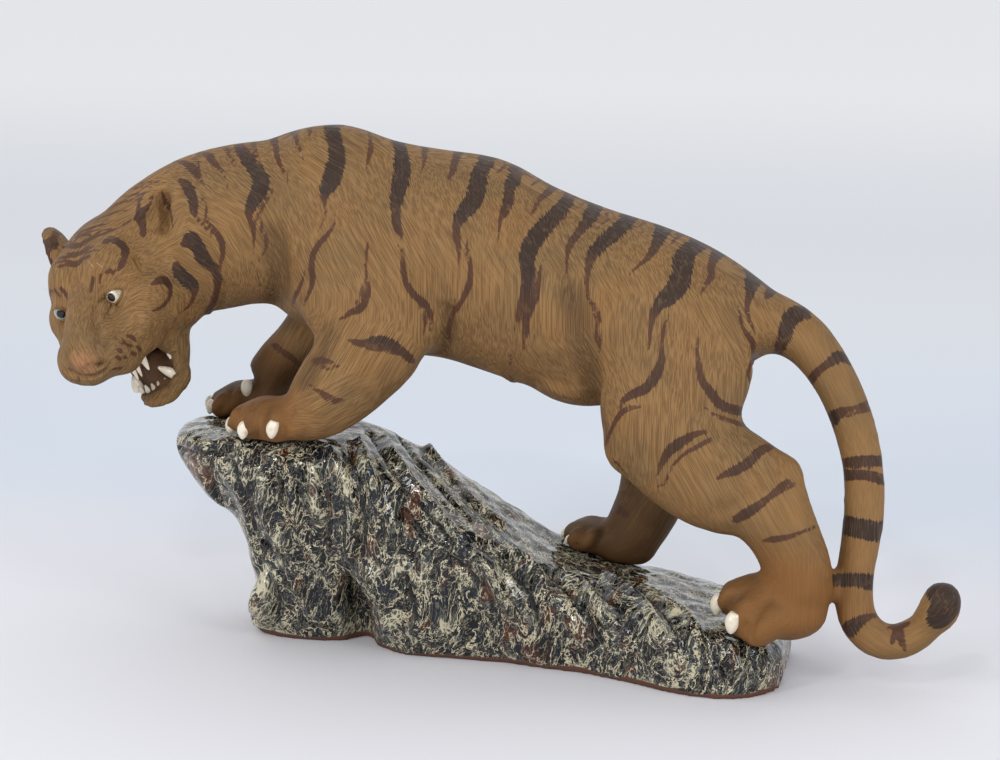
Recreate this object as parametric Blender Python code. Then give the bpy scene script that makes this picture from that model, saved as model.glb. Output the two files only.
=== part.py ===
"""Stoneware tiger standing on a glazed rock, about 430 mm long.

The tiger walks down the rock towards -X and turns its head towards -Y with the mouth open. The floor is z = 0,
the tiger's middle plane is y = 0. Sizes below are millimetres unless a name says otherwise.
"""

import math

import bmesh
import bpy
import numpy as np
from mathutils import Matrix, Vector, noise

MM = 0.001
SEAT_GAP = 0.3
TIGER_VOXEL = 1.9
ROCK_VOXEL = 3.0
TIGER_FACES = 7600
ROCK_FACES = 2600
SIDEWAYS = Vector((0, 1, 0))

CLAY_BROWN = (0.40, 0.25, 0.12, 1.0)
GLAZE_DARK = (0.09, 0.10, 0.10, 1.0)
IVORY = (0.80, 0.72, 0.58, 1.0)
EYE_WHITE = (0.78, 0.74, 0.62, 1.0)
BRISTLE_TINT = (0.85, 0.80, 0.68, 1.0)

# Torso, from the chest to the root of the tail: x, top of the back, bottom of the belly, half width.
TORSO = [
    (-116, 246, 172, 25),
    (-98, 252, 158, 31),
    (-76, 254, 147, 36),
    (-56, 248, 144, 39),
    (-30, 244, 145, 40),
    (0, 240, 137, 41),
    (25, 227.5, 130, 40),
    (50, 218, 125, 38),
    (75, 211, 124, 37),
    (98, 202, 131, 35),
    (118, 190, 146, 28),
    (136, 176, 158, 15),
]

# Neck, from inside the shoulders to the skull: x, y, z, half height, half width.
NECK = [
    (-78, 0, 205, 43, 31),
    (-105, 0, 207, 40, 31),
    (-128, -1, 205.5, 39, 30),
    (-150, -1, 199.5, 38, 27),
    (-168, -3, 194, 33, 23),
    (-182, -9, 187.5, 27, 20),
]

# Tail: x, y, z, radius. It bends towards -Y so that it leans on the heel of the left hind foot.
TAIL = [
    (108, 0, 172, 16),
    (128.5, -1, 167.5, 14),
    (145, -3, 160, 12),
    (158.5, -6, 144, 10.5),
    (168.5, -10, 124, 10),
    (174.5, -15, 102, 9.5),
    (175.5, -20, 79.5, 9.5),
    (173.5, -25, 61.5, 9),
    (172.5, -28, 48, 9),
    (175, -30, 34.5, 9),
    (183, -31, 26, 8.5),
    (194, -32, 26, 8.5),
    (204, -33, 32.5, 8),
    (211, -34, 42, 7.5),
    (213, -35, 48, 7.5),
]

# Legs: x, y, z, half thickness seen from the side, half thickness seen from the front.
FORELEG_LEFT = [
    (-84, -15, 222, 20, 12),
    (-74, -20, 200, 29, 17),
    (-62, -25, 177, 30, 19),
    (-53, -29, 159, 25, 18.5),
    (-63, -32, 144, 22, 17),
    (-73, -34, 133, 20, 16),
    (-83, -34, 122, 16, 15),
]
FORELEG_RIGHT = [
    (-88, 17, 222, 20, 12),
    (-86, 21, 200, 25, 16),
    (-88, 24, 176, 26, 17),
    (-92, 26, 158, 20, 16),
    (-106, 27, 144, 14, 14),
    (-117, 27, 134, 12.5, 13),
    (-125, 27, 124, 12, 13),
]
HINDLEG_LEFT = [
    (102, -17, 180, 24, 15),
    (90, -22, 160, 35, 19),
    (87, -27, 140, 35, 20),
    (89, -31, 120, 32, 20),
    (104, -34, 104, 28, 18),
    (117, -36, 98, 25.5, 17),
    (129, -37, 92, 23, 16),
    (137, -38, 82, 18, 15.5),
    (143, -38, 71, 16, 15),
    (147, -38, 60, 16, 15),
    (147, -38, 48, 15.5, 15),
]
HINDLEG_RIGHT = [
    (102, 17, 180, 24, 15),
    (92, 22, 160, 32, 18),
    (82, 26, 138, 32, 19),
    (78, 28, 118, 27, 18),
    (76, 29, 98, 22, 16.5),
    (72, 29, 79, 18, 15.5),
    (67, 29, 66, 16, 15),
    (61, 29, 55, 15, 14.5),
    (56, 29, 50, 12, 14),
]

# Muscle and bone that stand proud of the lofts: centre, radii, turn about Y in degrees.
MUSCLES = [
    ((-79, -11, 231), (29, 18, 22), 8),
    ((-79, 11, 231), (29, 18, 22), 8),
    ((-69, -24, 193), (30, 17, 36), -8),
    ((-74, 23, 193), (30, 17, 36), -8),
    ((-42, -28, 158), (15, 14, 13), 0),
    ((88, -24, 152), (37, 17, 33), 20),
    ((84, 24, 152), (35, 17, 33), 20),
    ((72, -31, 113), (17, 13, 17), 0),
    ((139, -38, 103), (10.5, 9, 11), -25),
    ((153, -38, 51), (11, 12, 12), 10),
    ((63, 29, 47), (10, 12, 9), 0),
    ((36, 0, 139), (26, 28, 14), 14),
]

# Paws: heel and ball of the foot as centre and radii.
PAWS = [
    ((-88, -34, 119), (22, 16, 11)),
    ((-103, -35, 118), (16, 16, 10.5)),
    ((-126, 27, 115), (16, 15, 9)),
    ((-137, 27, 114), (12, 15, 8)),
    ((143, -38, 39), (19, 16, 13)),
    ((130, -39, 40), (13, 16, 13)),
    ((56, 29, 48), (15, 14, 9.5)),
    ((43, 29, 51), (12, 15, 8)),
]
# Toes: knuckle, tip, radius. Each carries a claw that is set in its tip.
TOES = {
    "fore_left_1": ((-106, -23, 120), (-118, -20, 114.5), 7),
    "fore_left_2": ((-108, -30, 121), (-120, -29, 115.5), 7.4),
    "fore_left_3": ((-104, -38, 121), (-113, -39, 115.5), 7.6),
    "fore_left_4": ((-93, -43, 120), (-98, -46, 115.5), 7.4),
    "fore_right_1": ((-138, 15, 115), (-145, 13, 111.5), 6.4),
    "fore_right_2": ((-140, 22, 116), (-148, 21, 111.5), 6.8),
    "fore_right_3": ((-140, 30, 116), (-148, 31, 111.5), 6.8),
    "fore_right_4": ((-134, 38, 114), (-142, 40, 111), 6.4),
    "hind_left_1": ((133, -26, 45), (121, -25, 40), 7.8),
    "hind_left_2": ((128, -33, 47), (117, -33, 42), 8.6),
    "hind_left_3": ((131, -43, 42), (124, -45, 35.5), 8.8),
    "hind_left_4": ((138, -50, 38), (131, -53, 33), 7.8),
    "hind_right_1": ((42, 18, 54), (35, 17, 52), 6),
    "hind_right_2": ((39, 25, 55), (32, 25, 53), 6.4),
    "hind_right_3": ((40, 33, 55), (33, 34, 52), 6.4),
    "hind_right_4": ((45, 40, 53), (39, 41, 51), 6),
}
CLAW_LENGTH = 9.5
CLAW_ROOT_DEPTH = 2.6
CLAW_HALF_WIDTH = 2.1
CLAW_SIDES = 10
CLAW_HOOK = -0.14
# Profiles of the set-in pieces: share of the length from the root, share of the radius.
CLAW_PROFILE = [(0, 0.75), (0.3, 1.0), (0.6, 0.95), (0.85, 0.62), (1, 0.2)]
TOOTH_PROFILE = [(0, 1.0), (0.4, 0.95), (0.75, 0.62), (1, 0.22)]
BRISTLE_PROFILE = [(0, 1.0), (1, 0.7)]
# How large the claws of each foot are, and how far each foot's claws point down, in degrees.
FOOT_CLAWS = {
    "fore_left": (1.0, 76),
    "fore_right": (0.85, 72),
    "hind_left": (1.22, 74),
    "hind_right": (0.8, 60),
}
# The dew claw of the right forepaw, on the inner side of the wrist: root and tip.
DEW_CLAW = ((-131.5, 15.8, 126), (-132.6, 12.6, 116.5))

# Head frame: the middle of the eyes, and the ways forward, to the tiger's left, and up.
HEAD_ORIGIN = Vector((-192.2, -42.0, 170.5))
HEAD_FORWARD = Vector((-0.181, -0.934, -0.308)).normalized()
HEAD_LEFT = Vector((0.903, -0.282, 0.324))
HEAD_LEFT = (HEAD_LEFT - HEAD_LEFT.dot(HEAD_FORWARD) * HEAD_FORWARD).normalized()
HEAD_UP = HEAD_FORWARD.cross(HEAD_LEFT)

# Head masses in the head frame (forward, left, up): centre, radii, turn about the left axis in degrees.
# Those off the middle are made on both sides.
HEAD_MASSES = [
    ((-36, 0, 4), (32, 30, 26), 0),
    ((-17, 11, 8), (16, 15, 16), 0),
    ((-14, 17, 7), (11, 10, 8), 0),
    ((-12, 15, -3), (10, 11, 10), 0),
    ((-15.5, 22, -8), (16, 13.5, 13), 0),
    ((-24, 22, -13), (18, 14, 18), 0),
    ((-37, 25, -9), (21, 14, 27), -15),
    ((-6, 18, -17), (13, 11, 10), 0),
    ((5, 0, -18), (19, 15, 12), 30),
    ((11, 9, -20.5), (15, 11, 12), 15),
    ((7, 12, -28), (12, 7.5, 8.5), 0),
    ((-8, 16, -26), (12, 8, 8), 0),
    ((17, 0, -27), (10, 10, 7), 0),
    ((20, 0, -18), (7, 8, 6.5), 30),
    ((-32, 0, -20), (22, 22, 16), 0),
    ((-23, 16, -33), (9, 6.5, 9), 0),
]
# Bridge of the nose: forward, up, half height, half width.
NOSE_BRIDGE = [(-10, 3, 10, 12), (4, -5, 10, 11), (15, -13, 8.5, 10), (22, -18, 6, 8)]
# Lower jaw from the hinge to the chin: forward, up, half height, half width.
JAW = [
    (-37, -27, 11, 19),
    (-30, -38, 9.5, 19.5),
    (-23.5, -47.5, 8.5, 18.5),
    (-17.5, -54.5, 7.5, 15.5),
    (-12.5, -57, 5.5, 9),
]
JAW_TO_LEFT = 1.8
CHIN = ((-11, 1.8, -57), (7.5, 10.5, 5.5))
# Hollow of the mouth from the throat to the opening: forward, up, half height, half width.
MOUTH = [
    (-35, -36, 3, 8),
    (-26, -41, 6, 11.5),
    (-16, -45, 9.5, 14),
    (-4, -46.5, 11, 18),
    (13, -47, 11, 23),
    (30, -48, 15, 27),
]
TONGUE = ((-22, 0, -48), (12, 7, 3.5), 48)
EAR_ROOT = (-37, 30, 12)
EAR_TIP = (-47, 34.5, 30)
EAR_FACE = (0.55, 0.83, 0)
EAR_RADIUS = 13
# The right ear sits lower and farther out than the left one, as on a piece made by hand.
RIGHT_EAR_SHIFT = (2, -2, -2)
EYE_SPREAD = 17
EYE_RADIUS = 4.6
EYE_SET_BACK = 2.8

# Teeth in the head frame: root, tip, radius at the root. Those named with a side are single.
TEETH = {
    "upper_canine_left": ((-3, 12, -30), (-3, 12, -41), 2.1),
    "upper_canine_right": ((-3, -12, -30), (-3, -12, -41), 2.1),
    "upper_incisor_left_1": ((0, 9, -30), (0.5, 9, -39.5), 1.4),
    "upper_incisor_left_2": ((2, 5.5, -30), (2, 5.5, -40), 1.4),
    "upper_incisor_right_1": ((0, -9, -28), (0.5, -9, -34.8), 1.4),
    "upper_incisor_right_2": ((2, -5.5, -28), (2, -5.5, -34.8), 1.4),
    "upper_molar_left": ((-21, 14.5, -36), (-18.5, 14, -44), 2),
    "upper_molar_right": ((-21, -14.5, -36), (-18.5, -14, -44), 2),
    "lower_canine_left": ((-19, 12.8, -53.5), (-12.7, 9.5, -44.1), 2.9),
    "lower_canine_right": ((-14.2, -10, -55.5), (-13.6, -8.5, -45), 2.8),
    "lower_incisor_1": ((-12.4, -6.3, -57.5), (-12.2, -6, -50.8), 1.3),
    "lower_incisor_2": ((-12.3, -3.1, -58), (-12.3, -3, -51.2), 1.3),
    "lower_incisor_3": ((-13.4, 0.1, -58.4), (-13.4, 0, -51.8), 1.3),
    "lower_incisor_4": ((-14.8, 3.3, -58.6), (-14.8, 3.2, -52.2), 1.3),
    "lower_incisor_5": ((-16.9, 6.8, -57.6), (-16.6, 6.5, -50.6), 1.4),
}
TOOTH_SIDES = 8
# Bristles in the head frame: root and tip.
BRISTLES = {
    "brow_bristle_left_1": ((-6, 10, 8), (-0.5, 13.5, 20)),
    "brow_bristle_left_2": ((-7, 14, 6.5), (-1, 17.5, 17.5)),
    "brow_bristle_right_1": ((-8, -17, 10), (-14, -26, 20)),
    "brow_bristle_right_2": ((-7, -18, 6), (-7.4, -33, 16.2)),
}
BRISTLE_RADIUS = 0.35
BRISTLE_SIDES = 5

# Rock, from the overhanging nose to the low end: x, top, underside, then y of the near side at the top and
# at the bottom, and y of the far side at the top and at the bottom. Numbers below the floor are cut off.
ROCK = [
    (-161, 104, 99, -12, -10, 12, 12),
    (-156, 107, 91, -26, -20, 26, 24),
    (-147, 108, 81, -38, -26, 38, 34),
    (-137, 108.5, 70, -46, -26, 43, 36),
    (-128, 108.5, 60, -49, -18, 44, 36),
    (-122, 108.5, 30, -50, -6, 44, 38),
    (-118, 108.5, -10, -50, 0, 44, 38),
    (-100, 108.5, -10, -50, -7, 44, 44),
    (-80, 107.5, -10, -50, -5, 44, 48),
    (-60, 102.5, -10, -48, -12, 44, 52),
    (-42, 93, -10, -45, -22, 44, 54),
    (-20, 78, -10, -42, -23, 44, 56),
    (6, 60, -10, -40, -23, 44, 58),
    (26, 48, -10, -41, -26, 44, 58),
    (45, 42.5, -10, -44, -31, 44, 57),
    (67, 38.5, -10, -48, -38, 44, 55),
    (97, 33, -10, -54, -54, 43, 50),
    (120, 28, -10, -56, -53, 40, 44),
    (134, 24, -10, -50, -42, 32, 34),
    (140.5, 17, -10, -36, -28, 20, 20),
]
ROCK_SIDES = 44
ROCK_CORNER = 4.5
FOLD_DEPTH = 3.2
FOLD_WIDTH = 26
HOLLOW_UNDER_ROCK = ((-69, -20, 2), (8.5, 26, 38))
# Lumps of the rock beside its loft: the foot of the pillar and a spur behind it.
ROCK_LUMPS = [((-107, 16, 4), (23, 24, 15)), ((-124, 36, 27), (9, 8, 7))]


def remove_everything():
    for thing in list(bpy.data.objects):
        bpy.data.objects.remove(thing)


def finish_of(name, colour, roughness):
    finish = bpy.data.materials.new(name)
    finish.use_nodes = True
    shader = finish.node_tree.nodes["Principled BSDF"]
    shader.inputs["Base Color"].default_value = colour
    shader.inputs["Roughness"].default_value = roughness
    finish.diffuse_color = colour
    return finish


def smooth_rows(rows, steps):
    """Rows of numbers, with more rows between them on a Catmull-Rom curve through all."""
    table = np.array(rows, float)
    ends = np.vstack([2 * table[0] - table[1], table, 2 * table[-1] - table[-2]])
    out = []
    for i in range(len(table) - 1):
        a, b, c, d = ends[i : i + 4]
        for t in np.arange(steps) / steps:
            square = (2 * a - 5 * b + 4 * c - d) * t**2
            cube = (3 * b - a - 3 * c + d) * t**3
            out.append(0.5 * (2 * b + (c - a) * t + square + cube))
    return np.array([*out, table[-1]])


def join_rings(bm, rings):
    """A closed tube through rings of the same number of points."""
    loops = [[bm.verts.new(point) for point in ring] for ring in rings]
    count = len(loops[0])
    for low, high in zip(loops, loops[1:]):
        for k in range(count):
            n = (k + 1) % count
            bm.faces.new((low[k], low[n], high[n], high[k]))
    bm.faces.new(list(reversed(loops[0])))
    bm.faces.new(loops[-1])


def add_loft(bm, centres, across, sideways, side=SIDEWAYS, sides=20, travel=None):
    """A tube whose rings are sideways wide along side and across wide at right angles to side and travel."""
    rings = []
    for i, centre in enumerate(centres):
        before = Vector(centres[max(i - 1, 0)])
        after = Vector(centres[min(i + 1, len(centres) - 1)])
        way = travel or (after - before).normalized()
        lateral = (side - side.dot(way) * way).normalized()
        outward = lateral.cross(way)
        ring = []
        for k in range(sides):
            angle = 2 * math.pi * k / sides
            offset = outward * across[i] * math.cos(angle) + lateral * sideways[i] * math.sin(angle)
            ring.append(Vector(centre) + offset)
        rings.append(ring)
    join_rings(bm, rings)


def add_ellipsoid(bm, centre, radii, turn=Matrix.Identity(4), segments=20):
    shape = Matrix.Translation(centre) @ turn @ Matrix.Diagonal((*radii, 1.0))
    bmesh.ops.create_uvsphere(bm, u_segments=segments, v_segments=segments // 2, radius=1, matrix=shape)


def turned_about_y(degrees):
    return Matrix.Rotation(math.radians(degrees), 4, "Y")


def head_matrix():
    turn = Matrix((HEAD_FORWARD, HEAD_LEFT, HEAD_UP)).transposed().to_4x4()
    return Matrix.Translation(HEAD_ORIGIN) @ turn


def from_head(point):
    return head_matrix() @ Vector(point)


def add_to(bm, part, matrix):
    """Add the forms in part to bm, moved by matrix. It uses part up."""
    bmesh.ops.recalc_face_normals(part, faces=part.faces)
    part.transform(matrix)
    carrier = bpy.data.meshes.new("carrier")
    part.to_mesh(carrier)
    part.free()
    bm.from_mesh(carrier)
    bpy.data.meshes.remove(carrier)


def node_from(bm, name, finish):
    bmesh.ops.recalc_face_normals(bm, faces=bm.faces)
    mesh = bpy.data.meshes.new(name)
    bm.to_mesh(mesh)
    bm.free()
    mesh.transform(Matrix.Scale(MM, 4))
    mesh.materials.append(finish)
    node = bpy.data.objects.new(name, mesh)
    bpy.context.scene.collection.objects.link(node)
    return node


def helper_from(bm, name, finish):
    """A cutter: it shapes other pieces and is no piece itself."""
    cutter = node_from(bm, name, finish)
    cutter.hide_render = True
    cutter.display_type = "WIRE"
    return cutter


def add_modifier(node, kind, **settings):
    modifier = node.modifiers.new(kind.title(), kind)
    for setting, value in settings.items():
        setattr(modifier, setting, value)
    return modifier


def combine(node, tool, operation, crossing=False):
    add_modifier(node, "BOOLEAN", operation=operation, object=tool, solver="EXACT", use_self=crossing)


def bake_modifiers(node):
    graph = bpy.context.evaluated_depsgraph_get()
    baked = bpy.data.meshes.new_from_object(node.evaluated_get(graph))
    node.modifiers.clear()
    node.data = baked


def thin_out(node, faces):
    bake_modifiers(node)
    triangles = sum(len(p.vertices) - 2 for p in node.data.polygons)
    add_modifier(node, "DECIMATE", ratio=faces / triangles, use_collapse_triangulate=True)
    bake_modifiers(node)


def add_torso_and_neck(bm):
    torso = smooth_rows(TORSO, 3)
    centres = [(x, 0, (top + low) / 2) for x, top, low, _ in torso]
    heights = (torso[:, 1] - torso[:, 2]) / 2
    add_loft(bm, centres, heights, torso[:, 3], sides=28, travel=Vector((1, 0, 0)))
    neck = smooth_rows(NECK, 3)
    add_loft(bm, neck[:, :3], neck[:, 3], neck[:, 4], sides=24)
    for centre, radii, degrees in MUSCLES:
        add_ellipsoid(bm, centre, radii, turned_about_y(degrees))


def add_tail(bm):
    tail = smooth_rows(TAIL, 3)
    add_loft(bm, tail[:, :3], tail[:, 3], tail[:, 3], sides=18)
    add_ellipsoid(bm, tail[-1, :3], (tail[-1, 3],) * 3)


def add_legs(bm):
    for leg in (FORELEG_LEFT, FORELEG_RIGHT, HINDLEG_LEFT, HINDLEG_RIGHT):
        rows = smooth_rows(leg, 3)
        add_loft(bm, rows[:, :3], rows[:, 3], rows[:, 4])
    for centre, radii in PAWS:
        add_ellipsoid(bm, centre, radii)
    for knuckle, tip, radius in TOES.values():
        add_loft(bm, [knuckle, tip], (radius, radius), (radius, radius), sides=12)
        add_ellipsoid(bm, knuckle, (radius,) * 3, segments=14)
        add_ellipsoid(bm, tip, (radius,) * 3, segments=14)


def add_profile(bm, rows, left=0.0):
    """A head form that follows a line beside the middle plane: forward, up, half height, half width."""
    rows = smooth_rows(rows, 3)
    centres = [(forward, left, up) for forward, up, _, _ in rows]
    add_loft(bm, centres, rows[:, 2], rows[:, 3])


def ear_shapes():
    """The left ear's outer shell and the bowl that hollows it, as matrices that shape a unit sphere."""
    root, tip = Vector(EAR_ROOT), Vector(EAR_TIP)
    lean = (tip - root).normalized()
    face = Vector(EAR_FACE)
    face = (face - face.dot(lean) * lean).normalized()
    turn = Matrix((face, lean.cross(face), lean)).transposed().to_4x4()
    shell_size = Matrix.Diagonal((EAR_RADIUS * 0.46, EAR_RADIUS * 0.92, EAR_RADIUS * 1.08, 1))
    bowl_size = Matrix.Diagonal((EAR_RADIUS * 0.42, EAR_RADIUS * 0.74, EAR_RADIUS * 0.88, 1))
    shell = Matrix.Translation(root + lean * 8.5) @ turn @ shell_size
    bowl = Matrix.Translation(root + lean * 9.5 + face * 5.4) @ turn @ bowl_size
    return shell, bowl


def both_sides(shape):
    """The shape of the left ear, and its mirror image moved to the place of the right ear."""
    return shape, Matrix.Translation(RIGHT_EAR_SHIFT) @ Matrix.Diagonal((1, -1, 1, 1)) @ shape


def add_head(bm):
    part = bmesh.new()
    for (forward, left, up), radii, degrees in HEAD_MASSES:
        for side in {left, -left}:
            add_ellipsoid(part, (forward, side, up), radii, turned_about_y(degrees))
    add_profile(part, NOSE_BRIDGE)
    add_profile(part, JAW, JAW_TO_LEFT)
    add_ellipsoid(part, *CHIN)
    for shape in both_sides(ear_shapes()[0]):
        bmesh.ops.create_uvsphere(part, u_segments=20, v_segments=12, radius=1, matrix=shape)
    add_to(bm, part, head_matrix())


def hollow_head(tiger, finish):
    """Open the mouth, hollow the ears and lay the tongue in the mouth."""
    mouth = bmesh.new()
    add_profile(mouth, MOUTH)
    mouth.transform(head_matrix())
    combine(tiger, helper_from(mouth, "mouth_cutter", finish), "DIFFERENCE")
    for name, shape in zip(("left_ear_cutter", "right_ear_cutter"), both_sides(ear_shapes()[1])):
        bowl = bmesh.new()
        bmesh.ops.create_uvsphere(bowl, u_segments=20, v_segments=12, radius=1, matrix=shape)
        bowl.transform(head_matrix())
        combine(tiger, helper_from(bowl, name, finish), "DIFFERENCE")
    tongue = bmesh.new()
    centre, radii, degrees = TONGUE
    add_ellipsoid(tongue, centre, radii, turned_about_y(degrees))
    tongue.transform(head_matrix())
    combine(tiger, helper_from(tongue, "tongue_lump", finish), "UNION")


def build_tiger(finish):
    bm = bmesh.new()
    add_torso_and_neck(bm)
    add_tail(bm)
    add_legs(bm)
    add_head(bm)
    tiger = node_from(bm, "tiger", finish)
    add_modifier(tiger, "REMESH", mode="VOXEL", voxel_size=TIGER_VOXEL * MM)
    hollow_head(tiger, finish)
    add_modifier(tiger, "REMESH", mode="VOXEL", voxel_size=TIGER_VOXEL * MM)
    add_modifier(tiger, "SMOOTH", factor=0.5, iterations=6)
    thin_out(tiger, TIGER_FACES)
    return tiger


def rock_ring(row):
    """The outline of the rock at one x: square with round corners, drawn in at the foot, with folds."""
    x, top, low, near_top, near_low, far_top, far_low = row
    ring = []
    for k in range(ROCK_SIDES):
        angle = 2 * math.pi * k / ROCK_SIDES
        c, s = math.cos(angle), math.sin(angle)
        across = math.copysign(abs(c) ** (2 / ROCK_CORNER), c)
        height = math.copysign(abs(s) ** (2 / ROCK_CORNER), s)
        share = (height + 1) / 2
        near = near_low + (near_top - near_low) * share
        far = far_low + (far_top - far_low) * share
        y = (near + far) / 2 + across * (far - near) / 2
        z = low + (top - low) * share
        fold = noise.noise(Vector((x + 0.55 * z, y, 0.35 * z)) / FOLD_WIDTH)
        flat_top = 0.25 if height > 0.95 else 1.0
        y += c * fold * FOLD_DEPTH * 1.6
        z += s * fold * FOLD_DEPTH * flat_top
        ring.append(Vector((x, y, z)))
    return ring


def build_rock(finish):
    bm = bmesh.new()
    join_rings(bm, [rock_ring(row) for row in smooth_rows(ROCK, 3)])
    for lump in ROCK_LUMPS:
        add_ellipsoid(bm, *lump)
    rock = node_from(bm, "rock_base", finish)
    add_modifier(rock, "REMESH", mode="VOXEL", voxel_size=ROCK_VOXEL * MM)
    hollow = bmesh.new()
    add_ellipsoid(hollow, *HOLLOW_UNDER_ROCK)
    combine(rock, helper_from(hollow, "rock_hollow", finish), "DIFFERENCE")
    add_modifier(rock, "REMESH", mode="VOXEL", voxel_size=ROCK_VOXEL * MM)
    add_modifier(rock, "SMOOTH", factor=0.5, iterations=6)
    thin_out(rock, ROCK_FACES)
    floor = bmesh.new()
    bmesh.ops.create_cube(floor, size=1, matrix=Matrix.Translation((0, 0, -50)) @ Matrix.Diagonal((600, 300, 100, 1)))
    combine(rock, helper_from(floor, "floor_cutter", finish), "DIFFERENCE")
    bake_modifiers(rock)
    return rock


def add_taper(bm, length, radius, profile, sides, hook, grow=0.0):
    """A tapered piece that stands on its root along Z. hook bends the tip along X, as a share of the length."""
    shares = [share for share, _ in profile]
    centres = [Vector((hook * length * share**2, 0, length * share)) for share in shares]
    centres[0].z -= grow
    centres[-1].z += grow
    widths = [radius * width + grow for _, width in profile]
    add_loft(bm, centres, widths, widths, sides=sides, travel=Vector((0, 0, 1)))


def stand_from(root, tip):
    """The place and turn that lay a piece's Z axis from root to tip, with its X axis as far up as can be."""
    way = Vector(tip) - Vector(root)
    return Matrix.Translation(root) @ way.to_track_quat("Z", "X").to_matrix().to_4x4(), way.length


def claw_ends(toe):
    """Root and tip of the claw of a toe, set in the front of the toe."""
    knuckle, tip, radius = TOES[toe]
    size, degrees = FOOT_CLAWS[toe[:-2]]
    ahead = Vector(tip) - Vector(knuckle)
    ahead.z = 0
    ahead.normalize()
    down = math.radians(degrees)
    way = ahead * math.cos(down) + Vector((0, 0, -1)) * math.sin(down)
    length = CLAW_LENGTH * size
    middle = Vector(tip) + ahead * (radius * 0.93) + Vector((0, 0, 0.5))
    root = middle - way * length * 0.5 - ahead * CLAW_ROOT_DEPTH * 0.5
    return root, middle + way * length * 0.5, CLAW_HALF_WIDTH * size


def insert_list():
    """Every tapered piece that is set in the clay: name, root, tip, radius, profile, sides, hook, finish."""
    for toe in TOES:
        yield (f"claw_{toe}", *claw_ends(toe), CLAW_PROFILE, CLAW_SIDES, CLAW_HOOK, "enamel")
    yield ("dew_claw_fore_right", *DEW_CLAW, CLAW_HALF_WIDTH, CLAW_PROFILE, CLAW_SIDES, CLAW_HOOK, "enamel")
    for name, (root, tip, radius) in TEETH.items():
        yield (name, from_head(root), from_head(tip), radius, TOOTH_PROFILE, TOOTH_SIDES, 0.0, "enamel")
    for name, (root, tip) in BRISTLES.items():
        yield (name, from_head(root), from_head(tip), BRISTLE_RADIUS, BRISTLE_PROFILE, BRISTLE_SIDES, 0.0, "bristle")


def eye_places():
    return {
        "eye_left": from_head((-EYE_SET_BACK, EYE_SPREAD, 0)),
        "eye_right": from_head((-EYE_SET_BACK, -EYE_SPREAD, 0)),
    }


def place_node(node, stand):
    place, turn, _ = stand.decompose()
    node.location = place * MM
    node.rotation_mode = "QUATERNION"
    node.rotation_quaternion = turn


def build_inserts(finishes):
    """Make the claws, teeth, bristles and eyes, and one cutter that holds all their sockets."""
    sockets = bmesh.new()
    for name, root, tip, radius, profile, sides, hook, finish in insert_list():
        stand, length = stand_from(root, tip)
        piece = bmesh.new()
        add_taper(piece, length, radius, profile, sides, hook)
        place_node(node_from(piece, name, finishes[finish]), stand)
        socket = bmesh.new()
        add_taper(socket, length, radius, profile, sides, hook, SEAT_GAP)
        add_to(sockets, socket, stand)
    for name, place in eye_places().items():
        stand = Matrix.Translation(place)
        piece = bmesh.new()
        add_ellipsoid(piece, (0, 0, 0), (EYE_RADIUS,) * 3)
        place_node(node_from(piece, name, finishes["eye"]), stand)
        socket = bmesh.new()
        add_ellipsoid(socket, (0, 0, 0), (EYE_RADIUS + SEAT_GAP,) * 3)
        add_to(sockets, socket, stand)
    return helper_from(sockets, "insert_sockets", finishes["enamel"])


def seat_tiger_on_rock(tiger, rock, sockets, finish):
    """Press the paws' shape into the rock, a hair wider than the paws, so that the paws stand in it."""
    prints = bpy.data.objects.new("paw_prints", tiger.data.copy())
    bpy.context.scene.collection.objects.link(prints)
    prints.hide_render = True
    add_modifier(prints, "DISPLACE", strength=SEAT_GAP * MM, mid_level=0)
    bake_modifiers(prints)
    combine(rock, prints, "DIFFERENCE")
    combine(rock, sockets, "DIFFERENCE")
    bake_modifiers(rock)


def main():
    remove_everything()
    finishes = {
        "clay": finish_of("unglazed_stoneware", CLAY_BROWN, 0.75),
        "glaze": finish_of("marbled_glaze", GLAZE_DARK, 0.12),
        "enamel": finish_of("ivory_enamel", IVORY, 0.3),
        "eye": finish_of("painted_eye", EYE_WHITE, 0.15),
        "bristle": finish_of("white_bristle", BRISTLE_TINT, 0.5),
    }
    tiger = build_tiger(finishes["clay"])
    rock = build_rock(finishes["glaze"])
    sockets = build_inserts(finishes)
    seat_tiger_on_rock(tiger, rock, sockets, finishes["clay"])
    combine(tiger, sockets, "DIFFERENCE", crossing=True)
    bake_modifiers(tiger)


main()
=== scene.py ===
# %% [markdown]
# # A stoneware tiger on a glazed rock
#
# The real piece is one hollow figure of unglazed stoneware. The potter carved the coat into the
# damp clay with a comb, brushed the stripes on with dark slip, and set ivory claws, teeth and
# glazed eyes into the clay. The rock under it has a thick black glaze that cream glaze has run
# through.
#
# The model of the solid parts comes first. It is loaded as a fixed frame, and everything below adds
# the finish to it. Six claws and nine teeth don't keep the place that they have in that frame, which
# is told where they are rounded.

# %% Load the solid parts
import math

import bmesh
import bpy
import numpy as np
from mathutils import Matrix, Vector
from mathutils.bvhtree import BVHTree


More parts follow.
